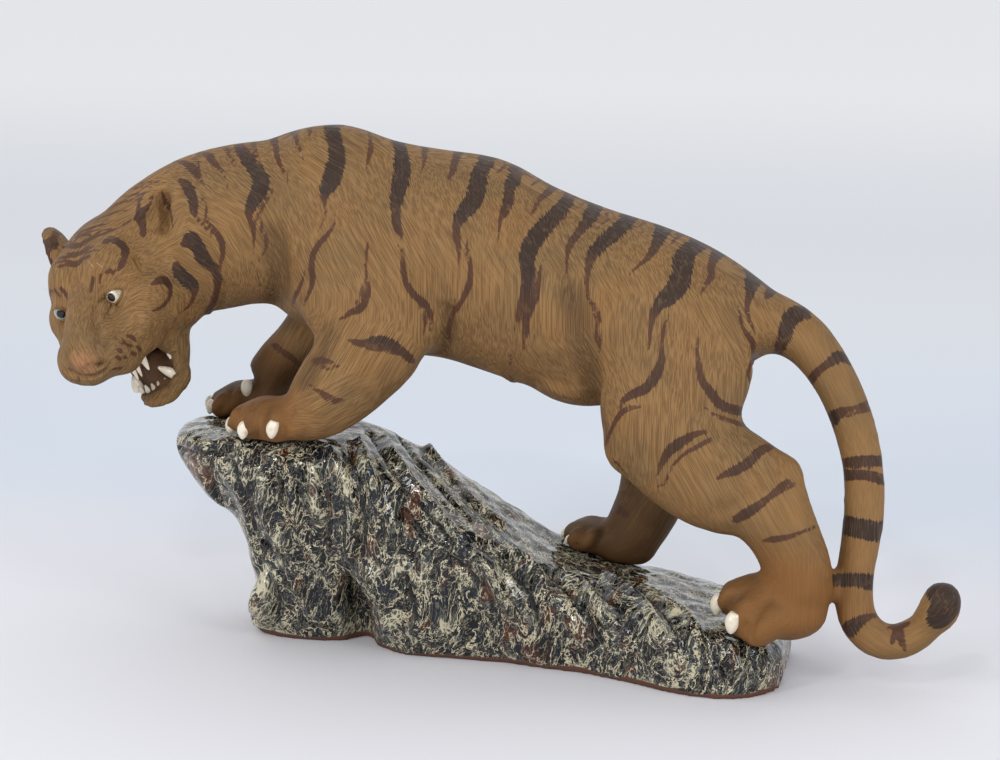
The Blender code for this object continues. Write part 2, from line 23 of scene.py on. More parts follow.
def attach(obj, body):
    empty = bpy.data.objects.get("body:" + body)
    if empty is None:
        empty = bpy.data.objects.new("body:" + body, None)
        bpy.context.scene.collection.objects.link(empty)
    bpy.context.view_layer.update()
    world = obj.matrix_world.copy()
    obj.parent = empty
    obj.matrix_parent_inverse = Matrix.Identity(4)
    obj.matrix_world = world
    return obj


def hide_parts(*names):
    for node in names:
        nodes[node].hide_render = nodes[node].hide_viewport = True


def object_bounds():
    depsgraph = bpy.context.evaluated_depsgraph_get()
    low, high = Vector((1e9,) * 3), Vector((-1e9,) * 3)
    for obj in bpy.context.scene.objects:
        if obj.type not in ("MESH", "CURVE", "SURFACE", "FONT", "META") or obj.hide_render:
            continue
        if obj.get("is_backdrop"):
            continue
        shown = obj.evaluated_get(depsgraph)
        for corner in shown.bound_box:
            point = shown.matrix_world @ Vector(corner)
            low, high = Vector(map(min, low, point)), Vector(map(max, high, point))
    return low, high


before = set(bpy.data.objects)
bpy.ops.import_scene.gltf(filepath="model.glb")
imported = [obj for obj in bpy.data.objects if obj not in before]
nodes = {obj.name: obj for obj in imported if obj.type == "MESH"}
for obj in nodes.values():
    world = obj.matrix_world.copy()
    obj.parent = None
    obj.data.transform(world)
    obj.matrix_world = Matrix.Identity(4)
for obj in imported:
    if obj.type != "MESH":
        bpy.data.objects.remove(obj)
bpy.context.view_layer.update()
MM = 0.001
bpy.ops.object.select_all(action="DESELECT")

# %% [markdown]
# The camera stands where the photographer stood: about 1.15 m from the figure, on the tiger's left
# side and 12 degrees round towards its tail, looking down by 11.5 degrees. A long lens keeps the
# perspective flat. A camera can be placed by eye until the outlines agree, but the stripes are
# drawn later through this same one, so its numbers are named and its directions worked out.

# %% Set up the camera
PICTURE_WIDTH, PICTURE_HEIGHT = 1000, 760
TARGET = Vector((0, 0, 134))
DISTANCE = 1150
AZIMUTH = math.radians(12)
PITCH = math.radians(11.5)
FOCAL_PIXELS = 2400
SENSOR_WIDTH = 36

towards = Vector((
    math.sin(AZIMUTH) * math.cos(PITCH),
    -math.cos(AZIMUTH) * math.cos(PITCH),
    math.sin(PITCH),
))
right = Vector((math.cos(AZIMUTH), math.sin(AZIMUTH), 0))
up = towards.cross(right)
eye_point = TARGET + towards * DISTANCE

camera_data = bpy.data.cameras.new("camera")
camera_data.sensor_width = SENSOR_WIDTH
camera_data.lens = FOCAL_PIXELS * SENSOR_WIDTH / PICTURE_WIDTH
camera_data.clip_end = 100
camera = bpy.data.objects.new("camera", camera_data)
bpy.context.collection.objects.link(camera)
turn = Matrix((right, up, towards)).transposed().to_4x4()
camera.matrix_world = Matrix.Translation(eye_point * MM) @ turn
bpy.context.scene.camera = camera
print("camera", camera.location, "lens", camera_data.lens)

# %% [markdown]
# The figure stands on a wide pale sheet in a light tent, so the light is soft and comes from all
# round. One lamp would throw a hard shadow, so two broad ones stand in front, left and right, and
# a wider, weaker one hangs overhead. The glaze needs bright shapes to mirror, so three narrow
# strips are added.

# %% Put down the sheet and hang the lamps
FLOOR_SIZE = 60.0
bpy.ops.mesh.primitive_plane_add(size=FLOOR_SIZE, location=(0, 20, 0))
floor = bpy.context.active_object
floor.name = "pale_sheet"
bpy.ops.object.transform_apply(location=True, rotation=True, scale=True)
floor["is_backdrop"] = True


OBJECT_MIDDLE = Vector((0, 0, 0.12))


def hang_lamp(name, place, width, height, watts):
    """A flat lamp at a place in metres, turned towards the middle of the figure."""
    data = bpy.data.lights.new(name, "AREA")
    data.shape = "RECTANGLE"
    data.size = width
    data.size_y = height
    data.energy = watts
    lamp = bpy.data.objects.new(name, data)
    bpy.context.collection.objects.link(lamp)
    lamp.location = place
    lamp.rotation_euler = (OBJECT_MIDDLE - Vector(place)).to_track_quat("-Z", "Y").to_euler()


LAMPS = [
    ("tent_top", (-0.3, -0.3, 1.5), 1.0, 1.0, 1.6),
    ("tent_front_left", (-1.1, -1.3, 0.9), 0.5, 0.5, 7.9),
    ("tent_front_right", (1.3, -1.0, 0.7), 0.5, 0.5, 7.4),
    ("strip_middle", (-0.1, -1.5, 1.2), 0.16, 0.05, 3.4),
    ("strip_left", (-0.9, -1.2, 0.7), 0.06, 0.16, 1.8),
    ("strip_right", (0.7, -1.5, 0.6), 0.06, 0.16, 1.8),
]
for name, place, width, height, watts in LAMPS:
    hang_lamp(name, place, width, height, watts)
print("lamps", [lamp[0] for lamp in LAMPS])

# %% [markdown]
# The cloth of the tent glows a little from every side. More lamps could do that, but the world
# round the scene does it with one number for its strength. It is set brighter at the back than
# in front, along the room's Y direction.

# %% Fill the tent with pale light
FRONT_SKY, BACK_SKY = 0.55, 1.08
SKY_FADE_START, SKY_FADE_END = -0.8, 0.4
SKY_COLOUR = (0.93, 0.96, 1.0, 1)
world = bpy.data.worlds.new("tent")
bpy.context.scene.world = world
world.use_nodes = True
sky_tree = world.node_tree
sky = sky_tree.nodes["Background"]
sky.inputs["Color"].default_value = SKY_COLOUR
sky_way = sky_tree.nodes.new("ShaderNodeTexCoord")
sky_split = sky_tree.nodes.new("ShaderNodeSeparateXYZ")
sky_ramp = sky_tree.nodes.new("ShaderNodeMapRange")
sky_tree.links.new(sky_way.outputs["Generated"], sky_split.inputs[0])
sky_tree.links.new(sky_split.outputs["Y"], sky_ramp.inputs["Value"])
sky_tree.links.new(sky_ramp.outputs[0], sky.inputs["Strength"])
sky_range = (("From Min", SKY_FADE_START), ("From Max", SKY_FADE_END),
             ("To Min", FRONT_SKY), ("To Max", BACK_SKY))
for socket, number in sky_range:
    sky_ramp.inputs[socket].default_value = number
bpy.context.scene.view_settings.view_transform = "Standard"
print("sky strength from", FRONT_SKY, "in front to", BACK_SKY, "at the back")

# %% [markdown]
# Each finish below is a tree of nodes. It could be wired by hand in the shader editor, but one idea
# takes many nodes there, so a small kit comes first, and each material then reads as a recipe.

# %% A kit for materials
def new_material(name):
    material = bpy.data.materials.new(name)
    material.use_nodes = True
    tree = material.node_tree
    return material, tree, tree.nodes["Principled BSDF"]


def feed(tree, socket, value):
    """Link value to a socket, or set it there when it is a plain number or colour."""
    if isinstance(value, bpy.types.NodeSocket):
        tree.links.new(value, socket)
    else:
        socket.default_value = value


def paint(piece, material):
    piece.data.materials.clear()
    piece.data.materials.append(material)


def shade_smooth(piece):
    for polygon in piece.data.polygons:
        polygon.use_smooth = True


print("material helpers ready")

# %% [markdown]
# Colours are mixed by masks, which run from 0 to 1. A mask is a pattern or a measure put through a
# ramp: below one value it gives one end, above another the other end, with a soft step between.

# %% Sums, ramps and mixed colours
def maths(tree, operation, first, second=0.0, third=0.0):
    node = tree.nodes.new("ShaderNodeMath")
    node.operation = operation
    for socket, value in zip(node.inputs, (first, second, third)):
        feed(tree, socket, value)
    return node.outputs[0]


def ramp(tree, value, low, high, to_low=0.0, to_high=1.0):
    """A smooth step of value between low and high."""
    node = tree.nodes.new("ShaderNodeMapRange")
    node.interpolation_type = "SMOOTHSTEP"
    for socket, number in zip(node.inputs, (value, low, high, to_low, to_high)):
        feed(tree, socket, number)
    return node.outputs[0]


def blend_colours(tree, share, first, second):
    node = tree.nodes.new("ShaderNodeMix")
    node.data_type = "RGBA"
    feed(tree, node.inputs[0], share)
    feed(tree, node.inputs[6], first)
    feed(tree, node.inputs[7], second)
    return node.outputs[2]


print("ramps ready")

# %% [markdown]
# The patterns themselves are noises. A noise that is stretched gives hairs, and one whose place is
# pushed about by a second noise gives the flowing lines of a glaze.

# %% Places, noises and bumps
def object_place(tree):
    return tree.nodes.new("ShaderNodeTexCoord").outputs["Object"]


def moved(tree, vector, scale=(1, 1, 1), turn=(0, 0, 0), shift=(0, 0, 0)):
    """Turn the pattern first, and stretch it after."""
    node = tree.nodes.new("ShaderNodeMapping")
    feed(tree, node.inputs["Vector"], vector)
    node.inputs["Rotation"].default_value = turn
    node.inputs["Location"].default_value = shift
    stretch = tree.nodes.new("ShaderNodeVectorMath")
    stretch.operation = "MULTIPLY"
    feed(tree, stretch.inputs[0], node.outputs[0])
    stretch.inputs[1].default_value = scale
    return stretch.outputs[0]


def noise_of(tree, vector, scale, detail=2.0, roughness=0.5):
    node = tree.nodes.new("ShaderNodeTexNoise")
    feed(tree, node.inputs["Vector"], vector)
    node.inputs["Scale"].default_value = scale
    node.inputs["Detail"].default_value = detail
    node.inputs["Roughness"].default_value = roughness
    return node


def warped(tree, vector, scale, amount, detail=2.0):
    """Push a vector about by a coloured noise, so that a pattern on it flows."""
    push = noise_of(tree, vector, scale, detail).outputs["Color"]
    centred = tree.nodes.new("ShaderNodeVectorMath")
    centred.operation = "SUBTRACT"
    feed(tree, centred.inputs[0], push)
    centred.inputs[1].default_value = (0.5, 0.5, 0.5)
    added = tree.nodes.new("ShaderNodeVectorMath")
    added.operation = "MULTIPLY_ADD"
    feed(tree, added.inputs[0], centred.outputs[0])
    added.inputs[1].default_value = (amount, amount, amount)
    feed(tree, added.inputs[2], vector)
    return added.outputs[0]


def attribute(tree, name, output="Fac"):
    node = tree.nodes.new("ShaderNodeAttribute")
    node.attribute_name = name
    return node.outputs[output]


def bump(tree, height, distance, strength):
    node = tree.nodes.new("ShaderNodeBump")
    node.inputs["Strength"].default_value = strength
    node.inputs["Distance"].default_value = distance
    feed(tree, node.inputs["Height"], height)
    return node.outputs["Normal"]


print("patterns ready")

# %% [markdown]
# The sheet is painted pale grey under the figure, bluer just behind it, and nearly white far back:
# painted shade near the figure and painted light far back. One flat colour would be right in one of
# these places only, so each band fades into the next. A band is where it starts and ends behind the
# figure, in metres, and its colour.

# %% Colour the sheet
SHEET_NEAR_SHADE = (0.70, 0.69, 0.72, 1)
# Bands of painted shade near the figure and painted light far back.
SHEET_LIGHT_BANDS = [
    (0.08, 0.35, (0.64, 0.68, 0.745, 1)),
    (0.35, 1.1, (0.735, 0.745, 0.77, 1)),
    (1.0, 3.5, (0.93, 0.912, 0.909, 1)),
]
material, tree, shader = new_material("pale_sheet")
distance_back = tree.nodes.new("ShaderNodeSeparateXYZ")
feed(tree, distance_back.inputs[0], object_place(tree))
sheet = SHEET_NEAR_SHADE
for start, end, tint in SHEET_LIGHT_BANDS:
    sheet = blend_colours(tree, ramp(tree, distance_back.outputs["Y"], start, end), sheet, tint)
feed(tree, shader.inputs["Base Color"], sheet)
shader.inputs["Roughness"].default_value = 0.9
paint(floor, material)
print("sheet coloured in", len(SHEET_LIGHT_BANDS) + 1, "tones")

# %% [markdown]
# Most finished pieces start as a copy of the solid one, so that they begin where that one is. These
# helpers make the copy and merge its doubled corners, apply a modifier to it, and read or move all
# its corners at once, in millimetres.

# %% Helpers that copy a mesh and move its corners
def copy_node(name, new_name):
    """A merged copy of a CAD node, as a new piece."""
    piece = nodes[name].copy()
    piece.data = nodes[name].data.copy()
    piece.name = new_name
    piece.parent = None
    for key in list(piece.keys()):
        del piece[key]
    bpy.context.collection.objects.link(piece)
    bpy.ops.object.select_all(action="DESELECT")
    piece.select_set(True)
    bpy.context.view_layer.objects.active = piece
    bpy.ops.object.mode_set(mode="EDIT")
    bpy.ops.mesh.select_all(action="SELECT")
    bpy.ops.mesh.remove_doubles(threshold=0.00002)
    bpy.ops.object.mode_set(mode="OBJECT")
    return piece


def apply_modifier(piece, kind, **settings):
    modifier = piece.modifiers.new(kind.lower(), kind)
    for key, value in settings.items():
        setattr(modifier, key, value)
    bpy.context.view_layer.objects.active = piece
    bpy.ops.object.modifier_apply(modifier=modifier.name)


def points_of(piece):
    points = np.empty(len(piece.data.vertices) * 3)
    piece.data.vertices.foreach_get("co", points)
    return points.reshape(-1, 3) / MM


def normals_of(piece):
    normals = np.empty(len(piece.data.vertices) * 3)
    piece.data.vertices.foreach_get("normal", normals)
    return normals.reshape(-1, 3)


def set_points(piece, points):
    piece.data.vertices.foreach_set("co", (points * MM).ravel())
    piece.data.update()


print("mesh helpers ready")

# %% [markdown]
# Clay is worked in one region at a time: an ear is held, a knob is swelled, an eye gets finer
# squares. Each of these helpers takes a region as numbers per corner or as a ball with a soft rim.

# %% Helpers that work on one region
def weigh(piece, name, weights):
    """Store weights as a vertex group, rounded to steps so that it takes few calls."""
    group = piece.vertex_groups.new(name=name)
    steps = np.round(weights * 20).astype(int)
    for step in np.unique(steps):
        group.add(np.nonzero(steps == step)[0].tolist(), step / 20, "REPLACE")


def near(points, centre, radius, soft=0.5):
    """1 within a ball of that radius, falling to 0 over soft times the radius outside it."""
    distance = np.linalg.norm(points - np.asarray(centre), axis=1)
    return np.clip(1 - (distance - radius) / (radius * soft), 0, 1)


def blow_up(points, centre, radius, factor):
    """Swell the clay about a centre, fully there and fading out past the radius."""
    offset = points - np.asarray(centre)
    fade = np.exp(-(np.linalg.norm(offset, axis=1) / radius)**4)
    return points + offset * (fade * (factor - 1))[:, None]


def refine(piece, chosen):
    """Subdivide the faces whose corners are all chosen."""
    bm = bmesh.new()
    bm.from_mesh(piece.data)
    bm.verts.ensure_lookup_table()
    edges = [e for e in bm.edges if chosen[e.verts[0].index] and chosen[e.verts[1].index]]
    bmesh.ops.subdivide_edges(bm, edges=edges, cuts=1, use_grid_fill=True)
    bm.to_mesh(piece.data)
    bm.free()
    piece.data.update()


print("region helpers ready")

# %% [markdown]
# The head is turned to the side, bowed and tilted, so a place on it is hard to give in the room's
# directions. It gets three of its own: forward along the nose, left, and up to the crown.

# %% Head frame
HEAD_ORIGIN = np.array((-192.2, -42.0, 170.5))
HEAD_AXES = np.array(((-0.181, -0.934, -0.308), (0.903, -0.282, 0.324), (-0.389, -0.219, 0.895)))


def on_head(forward, left, height):
    """A place on the head, from the point between the eyes, in millimetres."""
    return HEAD_ORIGIN + np.array((forward, left, height)) @ HEAD_AXES


def head_places(points):
    """The same three measures of points in the room."""
    return (points - HEAD_ORIGIN) @ HEAD_AXES.T


print("the head points along", HEAD_AXES[0])

# %% [markdown]
# The clay tiger is remeshed into even small squares, like clay that is kneaded smooth. Dividing the
# faces of the solid one would keep its long facets, and a remesh loses them. Smoothing passes take
# the steps away, weaker on the ears, head and paws, because smoothing wears thin forms down. A ball of
# clay closes each eye socket first, so that lids can be cut out of it later.

# %% Knead the copy smooth
CLAY_VOXEL = 0.00198
SMOOTH_PASSES = 12
SWELL = 0.0003
EAR_LEFT, EAR_RIGHT = (-43, 33, 22), (-41, -35, 20)
HEAD_MIDDLE = (0, 0, -20)
PAW_MIDDLES = [(-108, -33, 113), (-130, 18, 118), (48, 25, 50), (140, -36, 40)]
EAR_HOLD, HEAD_HOLD, PAW_HOLD = 0.75, 0.4, 0.5
EAR_REACH, HEAD_REACH, PAW_REACH = 14, 52, 24
EYE_RADIUS, EYE_SPREAD, EYE_BACK = 4.6, 17, 2.8
LID_THICKNESS = 0.8

tiger = copy_node("tiger", "stoneware_tiger")
for side in (1, -1):
    place = on_head(-EYE_BACK, side * EYE_SPREAD, 0) * MM
    bpy.ops.mesh.primitive_uv_sphere_add(radius=(EYE_RADIUS + LID_THICKNESS) * MM, location=place)
    tiger.select_set(True)
    bpy.context.view_layer.objects.active = tiger
    bpy.ops.object.join()
apply_modifier(tiger, "REMESH", mode="VOXEL", voxel_size=CLAY_VOXEL)
clay = points_of(tiger)
hold = np.zeros(len(clay))
for ear in (EAR_LEFT, EAR_RIGHT):
    hold = np.maximum(hold, EAR_HOLD * near(clay, on_head(*ear), EAR_REACH))
hold = np.maximum(hold, HEAD_HOLD * near(clay, on_head(*HEAD_MIDDLE), HEAD_REACH))
for paw in PAW_MIDDLES:
    hold = np.maximum(hold, PAW_HOLD * near(clay, paw, PAW_REACH))
weigh(tiger, "smoothing", 1 - hold)
apply_modifier(tiger, "SMOOTH", factor=0.5, iterations=SMOOTH_PASSES, vertex_group="smoothing")
apply_modifier(tiger, "DISPLACE", strength=SWELL, mid_level=0, direction="NORMAL")
print("tiger", len(clay), "points, smoothed")

# %% [markdown]
# The photograph shows a larger far ear and a larger knob at the tail's end than the smoothed copy
# has, so both are swelled. The face needs finer squares than the trunk, and the eyes and the corner
# of the mouth finer ones still. Only those faces are divided, which keeps the rest light.

# %% Swell the ear and the tail's end, and refine the face
EAR_SHIFT, EAR_SWELL_REACH, EAR_SWELL = (3, 0, 0), 16, 1.3
TAIL_TIP, TAIL_SWELL_REACH, TAIL_SWELL = (213, -35, 50), 14, 1.38
FACE_MIDDLE, FACE_REACH = (-12, 0, -18), 56
FINE_PLACES = [((-2, 17, 0), 9), ((-2, -17, 0), 9), ((20, 4, -24), 9)]

clay = points_of(tiger)
clay = blow_up(clay, on_head(*EAR_RIGHT) + EAR_SHIFT, EAR_SWELL_REACH, EAR_SWELL)
clay = blow_up(clay, TAIL_TIP, TAIL_SWELL_REACH, TAIL_SWELL)
set_points(tiger, clay)
refine(tiger, near(clay, on_head(*FACE_MIDDLE), FACE_REACH, soft=0.01) > 0.5)
for passes in range(2):
    clay = points_of(tiger)
    fine = np.zeros(len(clay))
    for place, radius in FINE_PLACES:
        fine = np.maximum(fine, near(clay, on_head(*place), radius - passes, soft=0.01))
    refine(tiger, fine > 0.5)
clay = points_of(tiger)
print("tiger", len(clay), "points, head refined")

# %% [markdown]
# Folds, grooves and stripes are all drawn in the same way, as with a pencil on the photograph:
# a few pixel places along the line and its width there. A ray through each place finds the clay
# under it, so every stroke lies on the surface, seen from any side.

# %% Strokes drawn through the camera
PIXEL_MM = DISTANCE / FOCAL_PIXELS
CAMERA_ROWS = np.array((right, up, towards))
CAMERA_PLACE = np.array(eye_point)


def to_picture(points):
    """Pixel places of points in millimetres."""
    local = (points - CAMERA_PLACE) @ CAMERA_ROWS.T
    scale = -FOCAL_PIXELS / local[:, 2]
    across = PICTURE_WIDTH / 2 + local[:, 0] * scale
    down = PICTURE_HEIGHT / 2 - local[:, 1] * scale
    return np.stack((across, down), axis=1)


def picture_ray(x, y):
    across = (x - PICTURE_WIDTH / 2) / FOCAL_PIXELS
    upward = (PICTURE_HEIGHT / 2 - y) / FOCAL_PIXELS
    way = np.array((across, upward, -1.0)) @ CAMERA_ROWS
    return Vector(way / np.linalg.norm(way))


def tree_of(piece):
    points = points_of(piece)
    faces = [tuple(face.vertices) for face in piece.data.polygons]
    return BVHTree.FromPolygons([Vector(p) for p in points], faces)


def smooth_line(rows, step=1.6):
    """Rows of numbers along a smooth curve through the given rows, about step pixels apart."""
    rows = np.array(rows, float)
    padded = np.vstack((2 * rows[0] - rows[1], rows, 2 * rows[-1] - rows[-2]))
    result = []
    for index in range(1, len(padded) - 2):
        before, start, end, after = padded[index - 1:index + 3]
        count = max(2, int(np.linalg.norm((end - start)[:2]) / step))
        for t in np.arange(count) / count:
            slope = (end - before) * t
            bend = (2 * before - 5 * start + 4 * end - after) * t**2
            twist = (3 * start - before - 3 * end + after) * t**3
            result.append(0.5 * (2 * start + slope + bend + twist))
    result.append(rows[-1])
    return np.array(result)


MIN_STROKE_WIDTH = 1.4


def drop_on(tree, rows):
    """Points on the surface with the half width there: rows hold pixel x, pixel y and full width."""
    found = []
    for x, y, width in smooth_line(rows):
        hit, _, _, far = tree.ray_cast(eye_point, picture_ray(x, y))
        if hit is not None:
            found.append((*hit, max(width, MIN_STROKE_WIDTH) * far / FOCAL_PIXELS / 2))
    return np.array(found).reshape(-1, 4)


print("stroke tools ready,", round(PIXEL_MM, 3), "mm to the pixel")

# %% [markdown]
# A stroke is used in two ways. Painting needs each clay point's distance to the stroke's edge, and
# sculpting moves the points near it in or out, most on its middle and less to the sides.

# %% Paint and press along a stroke
def signed_distance(points, line, best, tone, line_tone, reach=8.0):
    """Lower best to each point's distance to the line less its half width, and note its tone."""
    low = line[:, :3].min(axis=0) - line[:, 3].max() - reach
    high = line[:, :3].max(axis=0) + line[:, 3].max() + reach
    chosen = np.nonzero(((points > low) & (points < high)).all(axis=1))[0]
    for block in np.array_split(chosen, max(1, len(chosen) * len(line) // 2000000)):
        start, way = line[:-1, :3], line[1:, :3] - line[:-1, :3]
        offset = points[block, None, :] - start[None]
        share = np.clip((offset * way).sum(2) / np.maximum((way**2).sum(1), 1e-9), 0, 1)
        gap = np.linalg.norm(offset - share[..., None] * way, axis=2)
        gap -= line[:-1, 3] + share * (line[1:, 3] - line[:-1, 3])
        nearest = gap.argmin(axis=1)
        value = gap[np.arange(len(block)), nearest]
        closer = value < best[block]
        best[block[closer]] = value[closer]
        tone[block[closer]] = line_tone[nearest[closer]]


def sculpt(piece, strokes):
    """Press the clay in along each stroke, or out where its depth, in mm, is negative."""
    tree = tree_of(piece)
    points, normals = points_of(piece), normals_of(piece)
    shift = np.zeros(len(points))
    for depth, rows in strokes:
        line = drop_on(tree, rows)
        if len(line) < 2:
            continue
        spread = line[:, 3].mean()
        gap = np.full(len(points), 99.0)
        no_width = np.zeros(len(line))
        middle_line = np.column_stack((line[:, :3], no_width))
        signed_distance(points, middle_line, gap, shift * 0, no_width, reach=spread * 3)
        shift -= depth * np.exp(-(gap / spread)**2)
    set_points(piece, points + normals * shift[:, None])


print("sculpting tools ready")

# %% [markdown]
# The big folds of the coat: the dip between neck and shoulder, the fold behind the elbow, the
# flank in front of the thigh, and the grooves between the toes. They could be sculpted with a
# brush, but a stroke that is written down can be changed and pressed again. Each row is a depth in
# millimetres and its pixel rows. The width, in pixels, stands for how soft the groove is.

# %% Press in the folds
FOLDS = [
    (-2.8, [(312, 136, 56), (338, 134, 64), (362, 140, 56)]),
    (2.6, [(270, 196, 18), (277, 235, 20), (281, 268, 20), (276, 304, 16)]),
    (1.7, [(412, 232, 26), (428, 270, 26), (444, 310, 20), (450, 345, 14)]),
    (1.2, [(386, 170, 24), (390, 230, 26), (402, 280, 20)]),
    (2.2, [(447, 312, 12), (449, 332, 12), (443, 354, 10)]),
    (-1.2, [(350, 230, 50), (356, 290, 44)]),
    (0.8, [(500, 250, 24), (496, 300, 24), (492, 340, 20)]),
    (-0.8, [(470, 250, 26), (478, 310, 30)]),
    (-0.8, [(545, 300, 26), (548, 345, 26)]),
    (2.4, [(566, 262, 22), (580, 310, 20), (590, 352, 18), (597, 398, 14)]),
    (-1.2, [(622, 330, 30), (622, 385, 30), (620, 425, 24)]),
    (-1.0, [(660, 262, 50), (690, 300, 50)]),
    (1.2, [(676, 330, 18), (680, 372, 20), (700, 412, 18)]),
    (-1.0, [(720, 340, 26), (724, 380, 24)]),
    (1.0, [(690, 440, 20), (730, 430, 20), (752, 420, 14)]),
    (1.2, [(722, 512, 16), (756, 494, 16), (778, 470, 14)]),
    (1.3, [(748, 320, 16), (756, 372, 16), (752, 400, 12)]),
    (-1.4, [(780, 470, 12), (796, 500, 12), (812, 548, 12), (826, 575, 10)]),
    (1.1, [(770, 455, 8), (784, 500, 8), (798, 545, 8)]),
    (1.2, [(470, 362, 8), (480, 372, 8)]),
    (-1.2, [(496, 370, 10), (512, 380, 12), (522, 386, 10)]),
    (1.2, [(532, 380, 8), (536, 390, 8)]),
    (-0.9, [(552, 390, 10), (574, 398, 10)]),
    (0.9, [(336, 340, 10), (322, 372, 10), (300, 402, 10)]),
    (-0.9, [(366, 352, 14), (342, 384, 14), (318, 408, 14)]),
]
FACE_FOLDS = [
    (1.5, [(224, 284, 6), (223, 300, 7), (217, 318, 6), (206, 330, 5)]),
    (-1.2, [(214, 282, 7), (212, 300, 8), (206, 318, 7), (196, 327, 6)]),
    (-2.4, [(186, 372, 12), (184, 388, 14), (176, 402, 12)]),
    (-1.2, [(176, 350, 8), (177, 370, 8), (174, 388, 8)]),
    (-1.3, [(156, 192, 5), (150, 203, 6), (141, 213, 7), (133, 223, 8)]),
    (-0.8, [(124, 220, 8), (128, 230, 8)]),
    (-0.8, [(164, 193, 4), (170, 206, 4), (173, 222, 4)]),
    (0.8, [(147, 226, 5), (156, 231, 5), (166, 231, 5)]),
    (2.6, [(97, 366.5, 4), (99.5, 365, 5), (102, 364.5, 4)]),
    (1.8, [(69, 371, 4), (76, 374.5, 4), (86, 377, 4), (97, 375.5, 4), (106, 370, 4), (110, 364, 4)]),
    (1.4, [(77, 376, 3.5), (79, 383, 3.5)]),
    (-1.0, [(80, 366, 8), (90, 360, 9), (98, 356, 8)]),
    (1.0, [(76, 352, 5), (84, 350, 5), (94, 350, 5)]),
    (1.1, [(107, 362, 5), (108, 352, 5), (103, 343, 5), (92, 342, 5)]),
    (1.0, [(66, 362, 5), (68, 352, 5), (74, 345, 5)]),
    (-1.6, [(120, 352, 18), (134, 348, 16)]),
    (-1.0, [(64, 372, 8), (70, 378, 8)]),
    (-1.6, [(138, 393, 6), (146, 397, 7), (156, 395, 7), (167, 389, 7)]),
    (-2.6, [(152, 401, 9), (162, 400, 12), (172, 396, 13), (180, 386, 12)]),
    (-1.6, [(155, 206, 12), (159, 220, 14)]),
    (1.5, [(99, 302, 9), (95, 316, 9), (98, 330, 8)]),
    (0.9, [(102, 336, 6), (118, 334, 6), (140, 330, 6)]),
    (0.7, [(126, 300, 6), (136, 310, 8), (140, 322, 8)]),
    (-0.8, [(96, 290, 8), (104, 284, 7), (114, 281, 7), (124, 284, 6)]),
    (0.6, [(82, 270, 8), (84, 285, 8), (80, 300, 8)]),
    (0.6, [(128, 246, 14), (140, 262, 14), (146, 280, 14)]),
    (-0.7, [(158, 300, 22), (166, 318, 20)]),
]
TOE_FOLDS = [
    (-2.0, [(231, 424, 9), (236, 412, 9)]),
    (-2.0, [(246, 428, 10), (251, 414, 10)]),
    (-2.0, [(270, 430, 12), (276, 416, 12)]),
    (-1.4, [(294, 434, 12), (300, 422, 12)]),
    (2.0, [(238, 446, 6), (240, 432, 7), (244, 416, 7), (252, 404, 7)]),
    (2.0, [(256, 446, 6), (258, 430, 7), (262, 414, 7), (269, 403, 7)]),
    (1.7, [(282, 445, 6), (284, 430, 7), (288, 416, 7), (294, 408, 7)]),
    (-1.4, [(216, 404, 9), (222, 396, 9)]),
    (-1.4, [(236, 394, 9), (242, 388, 8)]),
    (1.6, [(222, 410, 6), (226, 400, 7), (232, 391, 7)]),
    (-1.8, [(722, 602, 12), (730, 590, 12)]),
    (-1.8, [(738, 618, 14), (747, 604, 14)]),
    (-1.4, [(764, 626, 16), (774, 612, 14)]),
    (2.4, [(724, 632, 8), (726, 614, 10), (731, 602, 10), (742, 592, 10)]),
    (1.9, [(750, 636, 8), (753, 622, 10), (759, 609, 10), (768, 600, 10)]),
    (-1.6, [(570, 540, 8), (576, 532, 8)]),
    (-1.6, [(586, 544, 9), (592, 534, 9)]),
    (1.6, [(577, 546, 6), (580, 536, 6), (587, 527, 6)]),
    (1.6, [(596, 548, 6), (600, 538, 6), (607, 530, 6)]),
]
sculpt(tiger, FOLDS)
sculpt(tiger, FACE_FOLDS)
sculpt(tiger, TOE_FOLDS)
print(len(FOLDS) + len(FACE_FOLDS) + len(TOE_FOLDS), "folds pressed")

# %% [markdown]
# The lids are cut out of the clay that closed the sockets. A cutting tool would leave ragged small
# faces, so the points are only moved: inside an almond outline they go behind the eye ball, and
# elsewhere they stay a little in front of it, most along the rim of the lid.

# %% Cut the lids
LID_OUTLINE = [(106, 297), (108, 293.3), (111.5, 291), (116, 289.9), (121, 290.2), (120.6, 294.5),
               (117.5, 299.5), (113.5, 303.8), (109.5, 304.8), (106.4, 301.5), (106, 297)]
LID_LIFT, RIM_HEIGHT, RIM_MIDDLE, RIM_SPREAD, RIM_END = 0.3, 0.45, 0.7, 0.8, 2.6
BEHIND_BALL = 0.9
PUPIL_PLACES = {"eye_left": (110.6, 297.9), "eye_right": (60.8, 314.2)}
EYE_MIDDLES = {"eye_left": on_head(-EYE_BACK, EYE_SPREAD, 0),
               "eye_right": on_head(-EYE_BACK, -EYE_SPREAD, 0)}


def on_ball(middle, x, y):
    """The unit way from a ball's middle to where the ray through a pixel meets it, or passes nearest."""
    way = np.array(picture_ray(x, y))
    offset = middle - CAMERA_PLACE
    along = offset @ way
    miss = offset - along * way
    depth = math.sqrt(max(EYE_RADIUS**2 - miss @ miss, 0))
    found = CAMERA_PLACE + way * (along - depth) - middle
    return found / np.linalg.norm(found)


